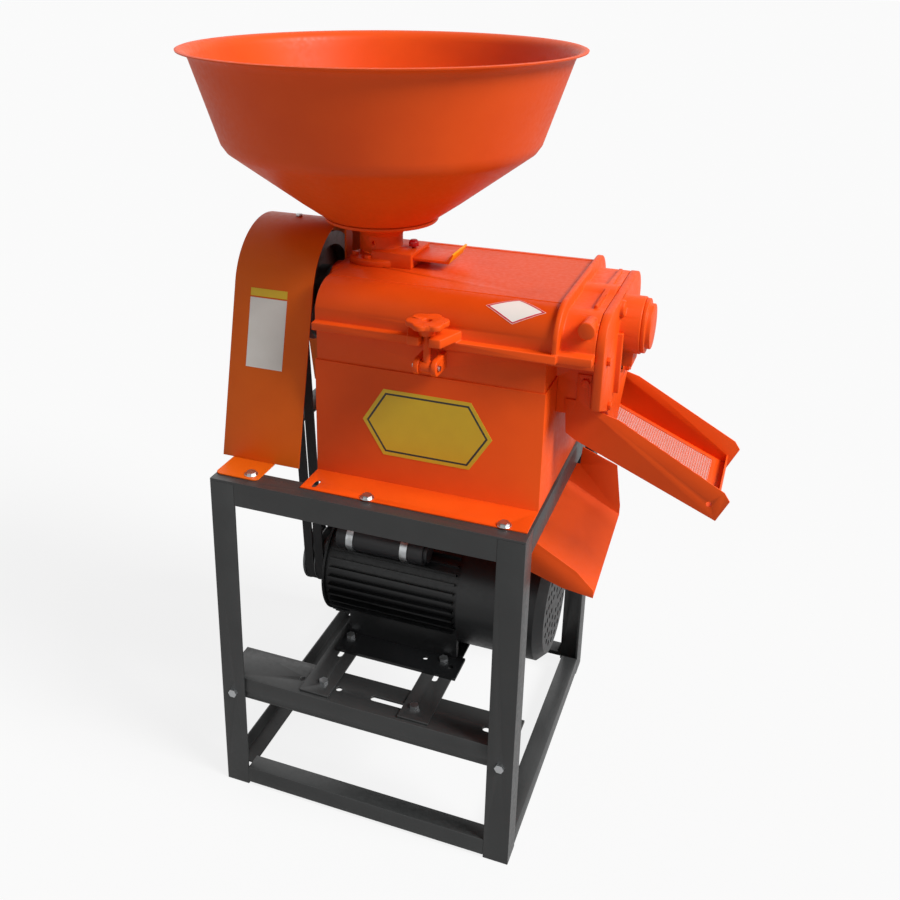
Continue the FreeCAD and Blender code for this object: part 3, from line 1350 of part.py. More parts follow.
def build_tray():
    """Open sloping tray: two side panels screwed to the outlet box, screen floor, end lip."""
    t, half = S.tray_wall, S.outlet_half
    k = tangent(S.tray_slope)
    x0, tip = S.tray_left, S.tray_tip

    def floor_z(x):
        return S.tray_floor_z - (size(x) - x0) * k

    def strip(y0, y1, xa, xb, above, below):
        return plate("xz", y0, y1, [
            (xa, floor_z(xa) + above), (xb, floor_z(xb) + above), (xb, floor_z(xb) - below),
            (xa, floor_z(xa) - below),
        ])

    outline = [
        (x0, size(671)), (x0 + 14, floor_z(x0 + 14) - 6), (tip - 16, floor_z(tip - 16) - 6),
        (tip, size(607)), (tip - 8, size(619)), (x0 + 74, size(703)), (x0 + 32, size(715)),
        (x0 + 32, tray_screw_z + 12), (x0 + 12, tray_screw_z + 12), (x0 + 12, size(724)),
        (x0 - 4, size(724)),
    ]
    panels = [plate("xz", half, half + t, outline), plate("xz", -half - t, -half, outline)]
    lip_x0, lip_x1 = tip - 38, tip - 16
    frame = [
        strip(-half, half, lip_x0, lip_x1, 0, 2),
        strip(-half, half, lip_x1 - 2, lip_x1, 14, 1),
        strip(-half, half, x0 + 2, x0 + 30, 0, 2),
        strip(-half, -half + 9, x0 + 28, lip_x0 + 1, 0, 2),
        strip(half - 9, half, x0 + 28, lip_x0 + 1, 0, 2),
    ]
    holes = [
        rod("y", -half - t - 1, half + t + 1, tray_screw_x, tray_screw_z, S.screw_radius),
        rod("y", -half - t - 1, -half + 1, tip - 27, size(598), 4),
    ]
    node("separator_tray", cut(fuse(*panels, *frame), *holes))
    mesh = strip(-half + 2, half - 2, x0 + 22, lip_x0 + 8, 1.2, 0)
    slots = []
    for i in range(9):
        x = x0 + 32 + i * 17
        for j in range(8):
            y = -half + 12 + j * 19.4
            slots.append(block(x, x + 11, y, y + 13, floor_z(x) - 14, floor_z(x) + 14))
    node("separator_screen", cut(mesh, *slots))
    for sign in (-1, 1):
        outer, inner = sign * (half + t), sign * (half - S.outlet_wall - 3)
        screws.append(fuse(
            hexagon("y", *span(outer, outer + sign * 4), tray_screw_x, tray_screw_z, 11),
            rod("y", *span(outer, inner), tray_screw_x, tray_screw_z, S.screw_radius),
        ))


def build_chute():
    """Bran chute: from the left wall of the skirt down and out under the right top rail."""
    t, half = float(S.chute_wall), float(S.chute_half)
    rise, tilt = math.tan(math.radians(float(S.chute_slope))), float(S.chute_tilt)
    start, tip, tip_z = float(S.body_left), float(S.chute_tip), float(S.chute_tip_z)
    rail_in, rail_out, under = float(right - leg), float(right), float(top - leg) - 3

    def floor_z(x, y):
        return tip_z + (tip - x) * rise + y * tilt

    def face(points):
        return Part.Face(Part.makePolygon([Vector(*p) for p in points + points[:1]]))

    def side(y, y_out, points):
        return face([(x, y, z) for x, z in points]).extrude(Vector(0, y_out - y, 0))

    def along(x, y, height):
        return (x, floor_z(x, y) + height)

    corners = [(start, -half - 1), (tip, -half - 1), (tip, half + 1), (start, half + 1)]
    floor = face([(x, y, floor_z(x, y)) for x, y in corners]).extrude(Vector(0, 0, -t))
    back = side(half, half + t, [
        along(start, half, -t - 1), along(tip, half, -t - 1), along(tip, half, 16),
        along(tip - 10, half, 82), along(rail_out + 6, half, 74), (rail_out + 4, under),
        (rail_in - 6, under), along(rail_in - 60, half, 60), along(start, half, 22),
    ])
    fore = side(-half - t, -half, [
        along(start, -half, -t - 1), along(rail_in - 60, -half, -48), along(tip - 48, -half, -22),
        along(tip, -half, -t - 1), along(tip, -half, 10), along(tip - 28, -half, 22),
        along(rail_in - 60, -half, 26), along(start, -half, 26),
    ])
    flange = Part.makeBox(t, 2 * half, 22, Vector(start, -half, floor_z(start, 0)))
    chute = doc.addObject("Part::Feature", "bran_chute_sheet")
    chute.Shape = floor.fuse([back, fore, flange]).removeSplitter()
    node("bran_chute", chute)


build_tray()
build_chute()
node("rail_bolts", group(*rail_bolts))
node("casing_screws", group(*screws))

# ---------------------------------------------------------------- check and export

doc.recompute()
faults = []
for obj in doc.Objects:
    if "Invalid" in obj.State or "Error" in obj.State:
        faults.append("%s: %s" % (obj.Label, obj.State))
for obj in nodes:
    if obj.Shape.isNull() or not obj.Shape.isValid() or not obj.Shape.Solids:
        faults.append("%s has no valid solid" % obj.Label)
if faults:
    raise RuntimeError("; ".join(faults[:20]))
for obj in nodes:
    obj.Shape.exportStep("parts/%s.step" % obj.Label)
total_box = FreeCAD.BoundBox()
for obj in nodes:
    total_box.add(obj.Shape.BoundBox)
print("%d nodes, box %s" % (len(nodes), total_box))
for obj in nodes:
    print("%-24s solids %2d volume %.0f" % (obj.Label, len(obj.Shape.Solids), obj.Shape.Volume))
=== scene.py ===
"""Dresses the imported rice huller: paint, castings, fasteners, plates, floor, light and camera."""
from __future__ import annotations

import logging
import math
from collections.abc import Callable
from dataclasses import dataclass, field
from enum import Enum

import bmesh
import bpy
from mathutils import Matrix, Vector


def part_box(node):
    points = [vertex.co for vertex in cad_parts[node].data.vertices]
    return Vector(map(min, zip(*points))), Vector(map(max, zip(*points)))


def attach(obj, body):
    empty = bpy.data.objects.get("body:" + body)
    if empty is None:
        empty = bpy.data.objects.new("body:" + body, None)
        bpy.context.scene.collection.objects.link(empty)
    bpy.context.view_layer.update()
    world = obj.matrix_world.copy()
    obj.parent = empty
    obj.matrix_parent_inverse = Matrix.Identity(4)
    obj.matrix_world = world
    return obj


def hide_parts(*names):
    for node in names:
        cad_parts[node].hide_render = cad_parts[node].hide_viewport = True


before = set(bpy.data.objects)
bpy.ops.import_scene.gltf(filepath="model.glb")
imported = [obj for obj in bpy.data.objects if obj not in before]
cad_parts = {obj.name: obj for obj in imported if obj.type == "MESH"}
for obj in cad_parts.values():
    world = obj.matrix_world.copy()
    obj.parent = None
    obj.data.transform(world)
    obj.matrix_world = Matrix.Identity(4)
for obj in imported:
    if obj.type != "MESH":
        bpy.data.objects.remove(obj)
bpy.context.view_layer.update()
MM = 0.001
log = logging.getLogger("huller")


class Ride(str, Enum):
    """The moving bodies that a piece can ride on."""

    STAND = "stand_and_casing"
    COVER = "cover_and_hopper"
    GATE = "feed_gate"
    LOCK = "lock_screw"
    NUT = "clamp_nut"
    MILL = "milling_rotor"
    MOTOR = "motor_rotor"


# ---------------------------------------------------------------- finishes


def linear(colour: str) -> tuple[float, float, float, float]:
    """Turns an sRGB hex colour to linear RGBA.

    Args:
        colour: six hex digits after a hash sign.

    Returns:
        The linear colour with full alpha.
    """
    channels = [int(colour[i:i + 2], 16) / 255 for i in (1, 3, 5)]
    rgb = [c / 12.92 if c <= 0.04045 else ((c + 0.055) / 1.055) ** 2.4 for c in channels]
    return (rgb[0], rgb[1], rgb[2], 1.0)


def add_node(
    tree: bpy.types.NodeTree, kind: str, feeds: dict | None = None, **settings: object
) -> bpy.types.Node:
    """Adds a node with its settings and links.

    Args:
        tree: the node tree it goes into.
        kind: the node's type name.
        feeds: input socket names or numbers, each with a value or the socket that feeds it.
        settings: attributes of the node itself.

    Returns:
        The new node.
    """
    node = tree.nodes.new(kind)
    for name, value in settings.items():
        setattr(node, name, value)
    for key, value in (feeds or {}).items():
        if isinstance(value, bpy.types.NodeSocket):
            tree.links.new(value, node.inputs[key])
        else:
            node.inputs[key].default_value = value
    return node


def blank_material(name: str) -> tuple[bpy.types.Material, bpy.types.NodeTree, bpy.types.Node]:
    """Makes a material with a bare principled shader.

    Args:
        name: the material's name.

    Returns:
        The material, its node tree and its shader.
    """
    material = bpy.data.materials.new(name)
    material.use_nodes = True
    tree = material.node_tree
    tree.nodes.clear()
    shader = add_node(tree, "ShaderNodeBsdfPrincipled")
    add_node(tree, "ShaderNodeOutputMaterial", {"Surface": shader.outputs["BSDF"]})
    return material, tree, shader


@dataclass(frozen=True)
class Paint:
    """A sprayed coat over steel or iron.

    Attributes:
        name: the finish's name.
        colour: the coat.
        shade: the coat where it lies thin or has gathered dust.
        roughness: its gloss, from 0 to 1.
        grain_mm: spacing of the surface's fine texture.
        relief_mm: height of that texture.
        blotch: how much the two tones mix.
        coat: clear gloss over it.
        sheen: strength of its reflection.
    """

    name: str
    colour: str
    shade: str
    roughness: float = 0.4
    grain_mm: float = 3.0
    relief_mm: float = 0.02
    blotch: float = 0.35
    coat: float = 0.0
    sheen: float = 0.2

    def material(self) -> bpy.types.Material:
        """Builds the coat: two tones in soft patches, uneven gloss and the sprayed texture."""
        material, tree, shader = blank_material(self.name)
        place = add_node(tree, "ShaderNodeTexCoord").outputs["Object"]
        # patches about 90 mm across, where the coat is thicker or thinner
        patch = add_node(tree, "ShaderNodeTexNoise", {"Vector": place, "Scale": 11.0, "Detail": 3.0})
        speck = add_node(tree, "ShaderNodeTexNoise", {"Vector": place, "Scale": 140.0, "Detail": 2.0})
        weight = add_node(
            tree, "ShaderNodeMapRange",
            {"Value": patch.outputs["Fac"], "From Min": 0.42, "From Max": 0.72, "To Max": self.blotch},
        )
        tint = add_node(
            tree, "ShaderNodeMix",
            {"Factor": weight.outputs["Result"], 6: linear(self.colour), 7: linear(self.shade)},
            data_type="RGBA",
        )
        gloss = add_node(
            tree, "ShaderNodeMapRange",
            {"Value": speck.outputs["Fac"], "From Min": 0.3, "From Max": 0.7,
             "To Min": self.roughness - 0.05, "To Max": self.roughness + 0.08},
        )
        grain = add_node(
            tree, "ShaderNodeTexNoise",
            {"Vector": place, "Scale": 1000.0 / self.grain_mm, "Detail": 2.0, "Roughness": 0.6},
        )
        bump = add_node(
            tree, "ShaderNodeBump",
            {"Height": grain.outputs["Fac"], "Distance": self.relief_mm * MM, "Strength": 1.0},
        )
        tree.links.new(tint.outputs[2], shader.inputs["Base Color"])
        tree.links.new(gloss.outputs["Result"], shader.inputs["Roughness"])
        tree.links.new(bump.outputs["Normal"], shader.inputs["Normal"])
        shader.inputs["Specular IOR Level"].default_value = self.sheen
        shader.inputs["Coat Weight"].default_value = self.coat
        shader.inputs["Coat Roughness"].default_value = 0.25
        return material


@dataclass(frozen=True)
class Metal:
    """Bare or plated metal.

    Attributes:
        name: the finish's name.
        colour: the metal.
        stain: the tone of its spots.
        roughness: its polish, from 0 to 1.
        lay: stretch of the tool marks along X, Y and Z.
        marks_mm: spacing of the tool marks.
        relief_mm: depth of the marks.
    """

    name: str
    colour: str
    stain: str
    roughness: float = 0.3
    lay: tuple[float, float, float] = (1.0, 1.0, 1.0)
    marks_mm: float = 1.5
    relief_mm: float = 0.02

    def material(self) -> bpy.types.Material:
        """Builds the metal: spots in its colour, and marks that follow how it was worked."""
        material, tree, shader = blank_material(self.name)
        place = add_node(tree, "ShaderNodeTexCoord").outputs["Object"]
        turned = add_node(tree, "ShaderNodeMapping", {"Vector": place, "Scale": self.lay})
        spots = add_node(tree, "ShaderNodeTexNoise", {"Vector": place, "Scale": 90.0, "Detail": 4.0})
        marks = add_node(
            tree, "ShaderNodeTexNoise",
            {"Vector": turned.outputs["Vector"], "Scale": 1000.0 / self.marks_mm, "Detail": 3.0},
        )
        weight = add_node(
            tree, "ShaderNodeMapRange",
            {"Value": spots.outputs["Fac"], "From Min": 0.5, "From Max": 0.75, "To Max": 0.7},
        )
        tint = add_node(
            tree, "ShaderNodeMix",
            {"Factor": weight.outputs["Result"], 6: linear(self.colour), 7: linear(self.stain)},
            data_type="RGBA",
        )
        polish = add_node(
            tree, "ShaderNodeMapRange",
            {"Value": marks.outputs["Fac"], "To Min": self.roughness - 0.08,
             "To Max": self.roughness + 0.14},
        )
        bump = add_node(
            tree, "ShaderNodeBump",
            {"Height": marks.outputs["Fac"], "Distance": self.relief_mm * MM, "Strength": 0.8},
        )
        tree.links.new(tint.outputs[2], shader.inputs["Base Color"])
        tree.links.new(polish.outputs["Result"], shader.inputs["Roughness"])
        tree.links.new(bump.outputs["Normal"], shader.inputs["Normal"])
        shader.inputs["Metallic"].default_value = 1.0
        return material


@dataclass(frozen=True)
class Plastic:
    """Moulded plastic, rubber or printed film.

    Attributes:
        name: the finish's name.
        colour: the moulding or print.
        shade: its second tone.
        roughness: its gloss, from 0 to 1.
        texture_mm: spacing of the moulded texture.
        relief_mm: height of that texture.
    """

    name: str
    colour: str
    shade: str
    roughness: float = 0.5
    texture_mm: float = 1.0
    relief_mm: float = 0.01

    def material(self) -> bpy.types.Material:
        """Builds the plastic: a faint second tone and a fine moulded texture."""
        material, tree, shader = blank_material(self.name)
        place = add_node(tree, "ShaderNodeTexCoord").outputs["Object"]
        cloud = add_node(tree, "ShaderNodeTexNoise", {"Vector": place, "Scale": 40.0, "Detail": 4.0})
        cell = add_node(
            tree, "ShaderNodeTexVoronoi", {"Vector": place, "Scale": 1000.0 / self.texture_mm}
        )
        tint = add_node(
            tree, "ShaderNodeMix",
            {"Factor": cloud.outputs["Fac"], 6: linear(self.colour), 7: linear(self.shade)},
            data_type="RGBA",
        )
        bump = add_node(
            tree, "ShaderNodeBump",
            {"Height": cell.outputs["Distance"], "Distance": self.relief_mm * MM, "Strength": 0.6},
        )
        tree.links.new(tint.outputs[2], shader.inputs["Base Color"])
        tree.links.new(bump.outputs["Normal"], shader.inputs["Normal"])
        shader.inputs["Roughness"].default_value = self.roughness
        return material


class Finishes:
    """All finishes of the huller, each built once."""

    def __init__(self) -> None:
        """Lists the finishes by the word that the assemblies use."""
        orange, deep = "#E8510F", "#D8440A"
        self.table = {
            # orange machinery enamel sprayed on sheet: smooth, with a soft gloss
            "sheet": Paint("orange_enamel_on_sheet", orange, deep, 0.42, 4.0, 0.012, 0.4),
            # the belt guard's thin coat lets its yellow primer show
            "guard": Paint("amber_orange_enamel_on_sheet", "#E4640F", "#D8580C", 0.4, 4.0, 0.012, 0.5),
            # the same enamel on spun sheet: a little smoother
            "spun": Paint("orange_enamel_on_spun_sheet", "#E4500F", deep, 0.42, 5.0, 0.015, 0.4),
            # the same enamel over sand-cast iron: the sand's texture shows through
            "cast": Paint("orange_enamel_on_cast_iron", orange, deep, 0.44, 2.6, 0.09, 0.45),
            # red-orange enamel on woven wire
            "screen": Paint("orange_enamel_on_wire", "#E8683C", "#C9502A", 0.5, 2.0, 0.02, 0.5),
            # yellow-orange edge of the feed slide
            "slide": Paint("amber_enamel", "#F39A12", "#E07E08", 0.42, 3.0, 0.015, 0.5),
            # dark grey enamel brushed on hot-rolled angle iron
            "stand": Paint("charcoal_enamel_on_angle_iron", "#373838", "#2C2D2D", 0.36, 6.0, 0.05, 0.6,
                           sheen=0.5),
            # black enamel over a ribbed iron casting
            "motor": Paint("black_enamel_on_cast_iron", "#0F1011", "#191A1C", 0.36, 2.5, 0.06, 0.6,
                           coat=0.1, sheen=0.4),
            "cowl": Paint("black_enamel_on_sheet", "#131415", "#1D1F20", 0.4, 5.0, 0.02, 0.6,
                          coat=0.1, sheen=0.4),
            # zinc plating: pale, faintly spotted
            "zinc": Metal("zinc_plated_steel", "#C6C9CB", "#9A9C98", 0.3, (1, 1, 1), 1.2, 0.02),
            # turned steel: rings across the shaft
            "turned": Metal("turned_steel", "#B4B6B8", "#8E8C88", 0.26, (12, 1, 1), 4.0, 0.02),
            # machined grey iron
            "iron": Metal("machined_grey_iron", "#6E6F70", "#55534F", 0.42, (6, 1, 1), 3.0, 0.04),
            "sheet_steel": Metal("bright_sheet_steel", "#BFC1C2", "#A3A29E", 0.32, (1, 8, 8), 4.0, 0.02),
            # fabric-backed rubber: dull black
            "rubber": Plastic("belt_rubber", "#1B1B1C", "#262627", 0.75, 1.2, 0.04),
            "black_plastic": Plastic("black_moulding", "#1A1A1C", "#222225", 0.45, 1.0, 0.01),
            "red_plastic": Plastic("red_moulding", "#C8141A", "#B51015", 0.3, 1.5, 0.005),
            # printed vinyl: yellow plate, dark border, white plate, red border
            "yellow_print": Plastic("yellow_print", "#E3BC12", "#D8AE0C", 0.35, 3.0, 0.004),
            "dark_print": Plastic("dark_print", "#26241E", "#302D24", 0.35, 3.0, 0.004),
            "white_print": Plastic("white_print", "#E9E6E0", "#DEDAD2", 0.4, 3.0, 0.004),
            "red_print": Plastic("red_print", "#C32638", "#B82032", 0.35, 3.0, 0.004),
        }
        self.made: dict[str, bpy.types.Material] = {}

    def get(self, word: str) -> bpy.types.Material:
        """Gives a finish's material, building it at its first use."""
        if word not in self.made:
            self.made[word] = self.table[word].material()
        return self.made[word]


FINISHES = Finishes()

# ---------------------------------------------------------------- modelling helpers


def deselect() -> None:
    """Leaves edit mode and selects nothing."""
    if bpy.context.object and bpy.context.object.mode == "EDIT":
        bpy.ops.object.mode_set(mode="OBJECT")
    bpy.ops.object.select_all(action="DESELECT")


def pick(piece: bpy.types.Object) -> None:
    """Makes a piece the only selected and the active one."""
    deselect()
    piece.select_set(True)
    bpy.context.view_layer.objects.active = piece


def edit(piece: bpy.types.Object, mode: str = "VERT", action: str = "SELECT") -> None:
    """Enters edit mode on a piece.

    Args:
        piece: the piece to edit.
        mode: VERT, EDGE or FACE.
        action: SELECT or DESELECT, for everything in it.
    """
    pick(piece)
    bpy.ops.object.mode_set(mode="EDIT")
    bpy.ops.mesh.select_mode(type=mode)
    bpy.ops.mesh.select_all(action=action)


def choose_edges(piece: bpy.types.Object, test: Callable[[Vector, Vector], bool]) -> None:
    """Selects the edges whose two ends pass a test, in edit mode.

    Args:
        piece: the piece in edit mode.
        test: takes the two ends' places and tells whether the edge is wanted.
    """
    bpy.ops.mesh.select_all(action="DESELECT")
    mesh = bmesh.from_edit_mesh(piece.data)
    for edge in mesh.edges:
        if test(edge.verts[0].co, edge.verts[1].co):
            edge.select_set(True)
    bmesh.update_edit_mesh(piece.data)


def modify(piece: bpy.types.Object, kind: str, **settings: object) -> None:
    """Adds a modifier to a piece and applies it."""
    pick(piece)
    modifier = piece.modifiers.new(kind.lower(), kind)
    for name, value in settings.items():
        setattr(modifier, name, value)
    bpy.ops.object.modifier_apply(modifier=modifier.name)


def settle(piece: bpy.types.Object, smooth_deg: float = 40.0, recalculate: bool = True) -> None:
    """Puts a piece's place into its mesh, turns its faces outwards and smooths its gentle edges.

    Args:
        piece: the piece.
        smooth_deg: the sharpest angle that still looks smooth.
        recalculate: whether its normals are worked out afresh.
    """
    pick(piece)
    bpy.ops.object.transform_apply(location=True, rotation=True, scale=True)
    if recalculate:
        edit(piece)
        bpy.ops.mesh.remove_doubles(threshold=0.00001)
        bpy.ops.mesh.normals_make_consistent(inside=False)
        bpy.ops.object.mode_set(mode="OBJECT")
    pick(piece)
    bpy.ops.object.shade_smooth_by_angle(angle=math.radians(smooth_deg))


def enlist(
    piece: bpy.types.Object, name: str, body: Ride, finish: str, *nodes: str
) -> bpy.types.Object:
    """Names a finished piece, gives it its finish and its body, and lets it stand for CAD nodes.

    Args:
        piece: the piece.
        name: its name.
        body: the body that it rides on.
        finish: the word for its finish; an empty word keeps its materials.
        nodes: the CAD nodes that it replaces.

    Returns:
        The piece.
    """
    piece.name = name
    piece.data.name = name
    if finish:
        piece.data.materials.clear()
        piece.data.materials.append(FINISHES.get(finish))
    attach(piece, body.value)
    if nodes:
        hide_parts(*nodes)
    log.info("%s on %s, %d faces", name, body.value, len(piece.data.polygons))
    return piece


def join(pieces: list[bpy.types.Object]) -> bpy.types.Object:
    """Joins pieces into the first of them."""
    deselect()
    for piece in pieces:
        piece.select_set(True)
    bpy.context.view_layer.objects.active = pieces[0]
    bpy.ops.object.join()
    return pieces[0]


def softened(
    node: str, name: str, body: Ride, finish: str, radius_mm: float, smooth_deg: float = 35.0
) -> bpy.types.Object:
    """Copies a CAD node as a piece of its own and rounds its edges.

    Args:
        node: the CAD node, which the piece replaces.
        name: the piece's name.
        body: the body that it rides on.
        finish: the word for its finish.
        radius_mm: width of the rounds.
        smooth_deg: the sharpest angle that is left alone.

    Returns:
        The finished piece.
    """
    piece = bpy.data.objects.new(name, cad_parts[node].data.copy())
    bpy.context.scene.collection.objects.link(piece)
    edit(piece)
    bpy.ops.mesh.remove_doubles(threshold=0.000005)
    bpy.ops.mesh.dissolve_limited(angle_limit=math.radians(0.6))
    bpy.ops.object.mode_set(mode="OBJECT")
    modify(
        piece, "BEVEL", width=radius_mm * MM, segments=2, limit_method="ANGLE",
        angle_limit=math.radians(smooth_deg), use_clamp_overlap=False, miter_outer="MITER_ARC",
    )
    pick(piece)
    bpy.ops.object.shade_smooth_by_angle(angle=math.radians(smooth_deg))
    return enlist(piece, name, body, finish, node)


def rings(
    stations: list[tuple[float, float]], centre: tuple[float, float], count: int = 96
) -> bpy.types.Object:
    """Draws a ring and extrudes it upwards from station to station.

    Args:
        stations: radius and height of each ring, in metres.
        centre: the axis in X and Y.
        count: corners of the ring.

    Returns:
        The open shell.
    """
    deselect()
    radius, height = stations[0]
    bpy.ops.mesh.primitive_circle_add(
        vertices=count, radius=radius, fill_type="NOTHING", location=(*centre, height)
    )
    piece = bpy.context.active_object
    edit(piece)
    for wide, high in stations[1:]:
        bpy.ops.mesh.extrude_region_move(
            TRANSFORM_OT_translate={"value": (0.0, 0.0, high - height)}
        )
        scale = wide / radius
        bpy.ops.transform.resize(value=(scale, scale, 1.0), center_override=(*centre, high))
        radius, height = wide, high
    bpy.ops.object.mode_set(mode="OBJECT")
    return piece


def block(low: tuple[float, float, float], high: tuple[float, float, float]) -> bpy.types.Object:
    """Adds a cube and sizes it between two corners, in metres."""
    deselect()
    middle = [(a + b) / 2 for a, b in zip(low, high)]
    bpy.ops.mesh.primitive_cube_add(size=1.0, location=middle)
    piece = bpy.context.active_object
    piece.scale = [b - a for a, b in zip(low, high)]
    bpy.ops.object.transform_apply(location=True, rotation=True, scale=True)
    return piece


def disc(
    middle: tuple[float, float, float], radius: float, depth: float, count: int = 32, axis: str = "Z"
) -> bpy.types.Object:
    """Adds a cylinder, in metres.

    Args:
        middle: its middle.
        radius: its radius.
        depth: its length.
        count: its sides.
        axis: X, Y or Z.

    Returns:
        The cylinder, with its place in its mesh.
    """
    deselect()
    turn = {"X": (0, math.pi / 2, 0), "Y": (math.pi / 2, 0, 0), "Z": (0, 0, 0)}[axis]
    bpy.ops.mesh.primitive_cylinder_add(
        vertices=count, radius=radius, depth=depth, location=middle, rotation=turn
    )
    piece = bpy.context.active_object
    bpy.ops.object.transform_apply(location=True, rotation=True, scale=True)
    return piece


def paint_faces(piece: bpy.types.Object, finish: str, test: Callable[[Vector], bool]) -> None:
    """Gives the faces that pass a test a second finish.

    Args:
        piece: a finished piece.
        finish: the word for the second finish.
        test: takes a face's middle and tells whether it is wanted.
    """
    piece.data.materials.append(FINISHES.get(finish))
    slot = len(piece.data.materials) - 1
    for face in piece.data.polygons:
        if test(face.center):
            face.material_index = slot


# ---------------------------------------------------------------- assemblies


@dataclass
class Hopper:
    """The spun hopper: cone, rounded knee, flaring wall and rolled rim.

    Attributes:
        wall: thickness of its sheet.
        foot: inner radius of the flange that lies on the neck.
        seat: radius where the cone leaves the flange.
        knee: radius where the cone meets the wall.
        mouth: radius where the wall meets the rim.
        knee_height: from the foot to the knee.
        rim_height: from the wall's top to the rim's top.
        cone_rings: where rings lie along the cone, as shares of it.
        wall_rings: the same along the wall.
        rim_rings: how far out and up each ring of the rim lies from the wall's top, in millimetres.
    """

    wall: float = 2.0 * MM
    foot: float = 78.0 * MM
    seat: float = 87.0 * MM
    knee: float = 236.0 * MM
    mouth: float = 276.0 * MM
    knee_height: float = 110.0 * MM
    rim_height: float = 16.0 * MM
    cone_rings: tuple[float, ...] = (0.25, 0.5, 0.75, 0.92, 0.965)
    wall_rings: tuple[float, ...] = (0.035, 0.1, 0.35, 0.65, 0.9, 1.0)
    rim_rings: tuple[tuple[float, float], ...] = ((2.5, 5), (6.5, 9.5), (11.5, 12.2), (15.5, 13.4))

    def build(self) -> None:
        """Extrudes the shell ring by ring, thickens it and rounds its edges."""
        low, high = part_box("hopper")
        centre = ((low.x + high.x) / 2, (low.y + high.y) / 2)
        base, rim = low.z, high.z
        reach = (high.x - low.x) / 2
        stations = [(self.foot, base + 0.5 * MM), (self.seat - 2 * MM, base + 0.6 * MM)]
        stations.append((self.seat + 1 * MM, base + 2.4 * MM))
        for t in self.cone_rings:
            stations.append((self.seat + (self.knee - self.seat) * t, base + self.knee_height * t))
        stations.append((self.knee - 2.2 * MM, base + self.knee_height + 0.6 * MM))
        wall_top = rim - self.rim_height
        knee_z = base + self.knee_height
        for t in self.wall_rings:
            stations.append((
                self.knee + (self.mouth - self.knee) * t + 0.4 * MM,
                knee_z + (wall_top - knee_z) * t + 2 * MM * (1 - t),
            ))
        # the rim flares, rolls over and turns down in a bead
        for out, up in self.rim_rings:
            stations.append((self.mouth + out * MM, wall_top + up * MM))
        stations.append((reach - 0.8 * MM, rim - 3.6 * MM))
        piece = rings(stations, centre, 128)
        modify(piece, "SOLIDIFY", thickness=self.wall, offset=1.0, use_even_offset=True)
        settle(piece, 50)
        enlist(piece, "hopper_shell", Ride.COVER, "spun", "hopper")


@dataclass
class BeltGuard:
    """The arched sheet over the belts, with its folded feet.

    Attributes:
        wall: thickness of its sheet.
        foot_half: from the shaft's plane to a leg's outer foot.
        radius: of the arch, to the middle of the sheet.
        foot_wall: thickness of a foot.
        foot_reach: where a foot starts and ends, from the guard's left edge.
        rail_inset: from a top rail's outer face to a foot's end.
        foot_corner: radius of a foot's corners.
    """

    wall: float = 2.0 * MM
    foot_half: float = 168.0 * MM
    radius: float = 107.0 * MM
    foot_wall: float = 2.2 * MM
    foot_reach: tuple[float, float] = (18 * MM, 90 * MM)
    rail_inset: float = 15 * MM
    foot_corner: float = 9 * MM

    def build(self) -> None:
        """Draws the front leg as a sheet, spins it over the shaft and extrudes the rear leg."""
        low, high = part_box("belt_guard")
        shaft = sum((c.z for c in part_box("main_shaft")), 0.0) / 2
        foot_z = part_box("top_rail_front")[1].z + self.foot_wall
        run, half = shaft - foot_z, self.foot_half - self.wall / 2
        lean = math.pi / 2 - math.atan2(run, half) - math.asin(self.radius / math.hypot(half, run))
        top_y, top_z = self.radius * math.cos(lean), shaft + self.radius * math.sin(lean)
        deselect()
        bpy.ops.mesh.primitive_plane_add(size=1.0)
        piece = bpy.context.active_object
        edit(piece)
        mesh = bmesh.from_edit_mesh(piece.data)
        for vertex in mesh.verts:
            x = high.x if vertex.co.x > 0 else low.x
            vertex.co = (x, -top_y, top_z) if vertex.co.y > 0 else (x, -half, foot_z)
        bmesh.update_edit_mesh(piece.data)
        bpy.ops.mesh.select_mode(type="EDGE")
        choose_edges(piece, lambda a, b: min(a.z, b.z) > top_z - 1e-4)
        bpy.ops.mesh.spin(
            steps=56, angle=math.pi - 2 * lean, center=(0.0, 0.0, shaft), axis=(1.0, 0.0, 0.0)
        )
        bpy.ops.mesh.extrude_region_move(
            TRANSFORM_OT_translate={"value": (0.0, half - top_y, foot_z - top_z)}
        )
        bpy.ops.object.mode_set(mode="OBJECT")
        modify(piece, "SOLIDIFY", thickness=self.wall, offset=0.0)
        modify(piece, "BEVEL", width=0.5 * MM, segments=2, limit_method="ANGLE",
               angle_limit=math.radians(60))
        settle(piece, 40)
        parts = [piece]
        rail_front, rail_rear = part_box("top_rail_front")[0].y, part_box("top_rail_rear")[1].y
        left, right = (low.x + reach for reach in self.foot_reach)
        for sign, edge in ((-1, rail_front + self.rail_inset), (1, rail_rear - self.rail_inset)):
            y0, y1 = sorted((sign * (half - self.wall / 2), edge))
            tab = block((left, y0, foot_z - self.foot_wall), (right, y1, foot_z))
            edit(tab, "EDGE", "DESELECT")
            choose_edges(tab, lambda a, b, e=edge: abs(a.z - b.z) > 1e-4 and abs(a.y - e) < 1e-4)
            bpy.ops.mesh.bevel(offset=self.foot_corner, segments=5, affect="EDGES")
            bpy.ops.object.mode_set(mode="OBJECT")
            modify(tab, "BEVEL", width=0.4 * MM, segments=1, limit_method="ANGLE",
                   angle_limit=math.radians(60))
            settle(tab, 40)
            parts.append(tab)
        enlist(join(parts), "guard_sheet", Ride.STAND, "guard", "belt_guard")


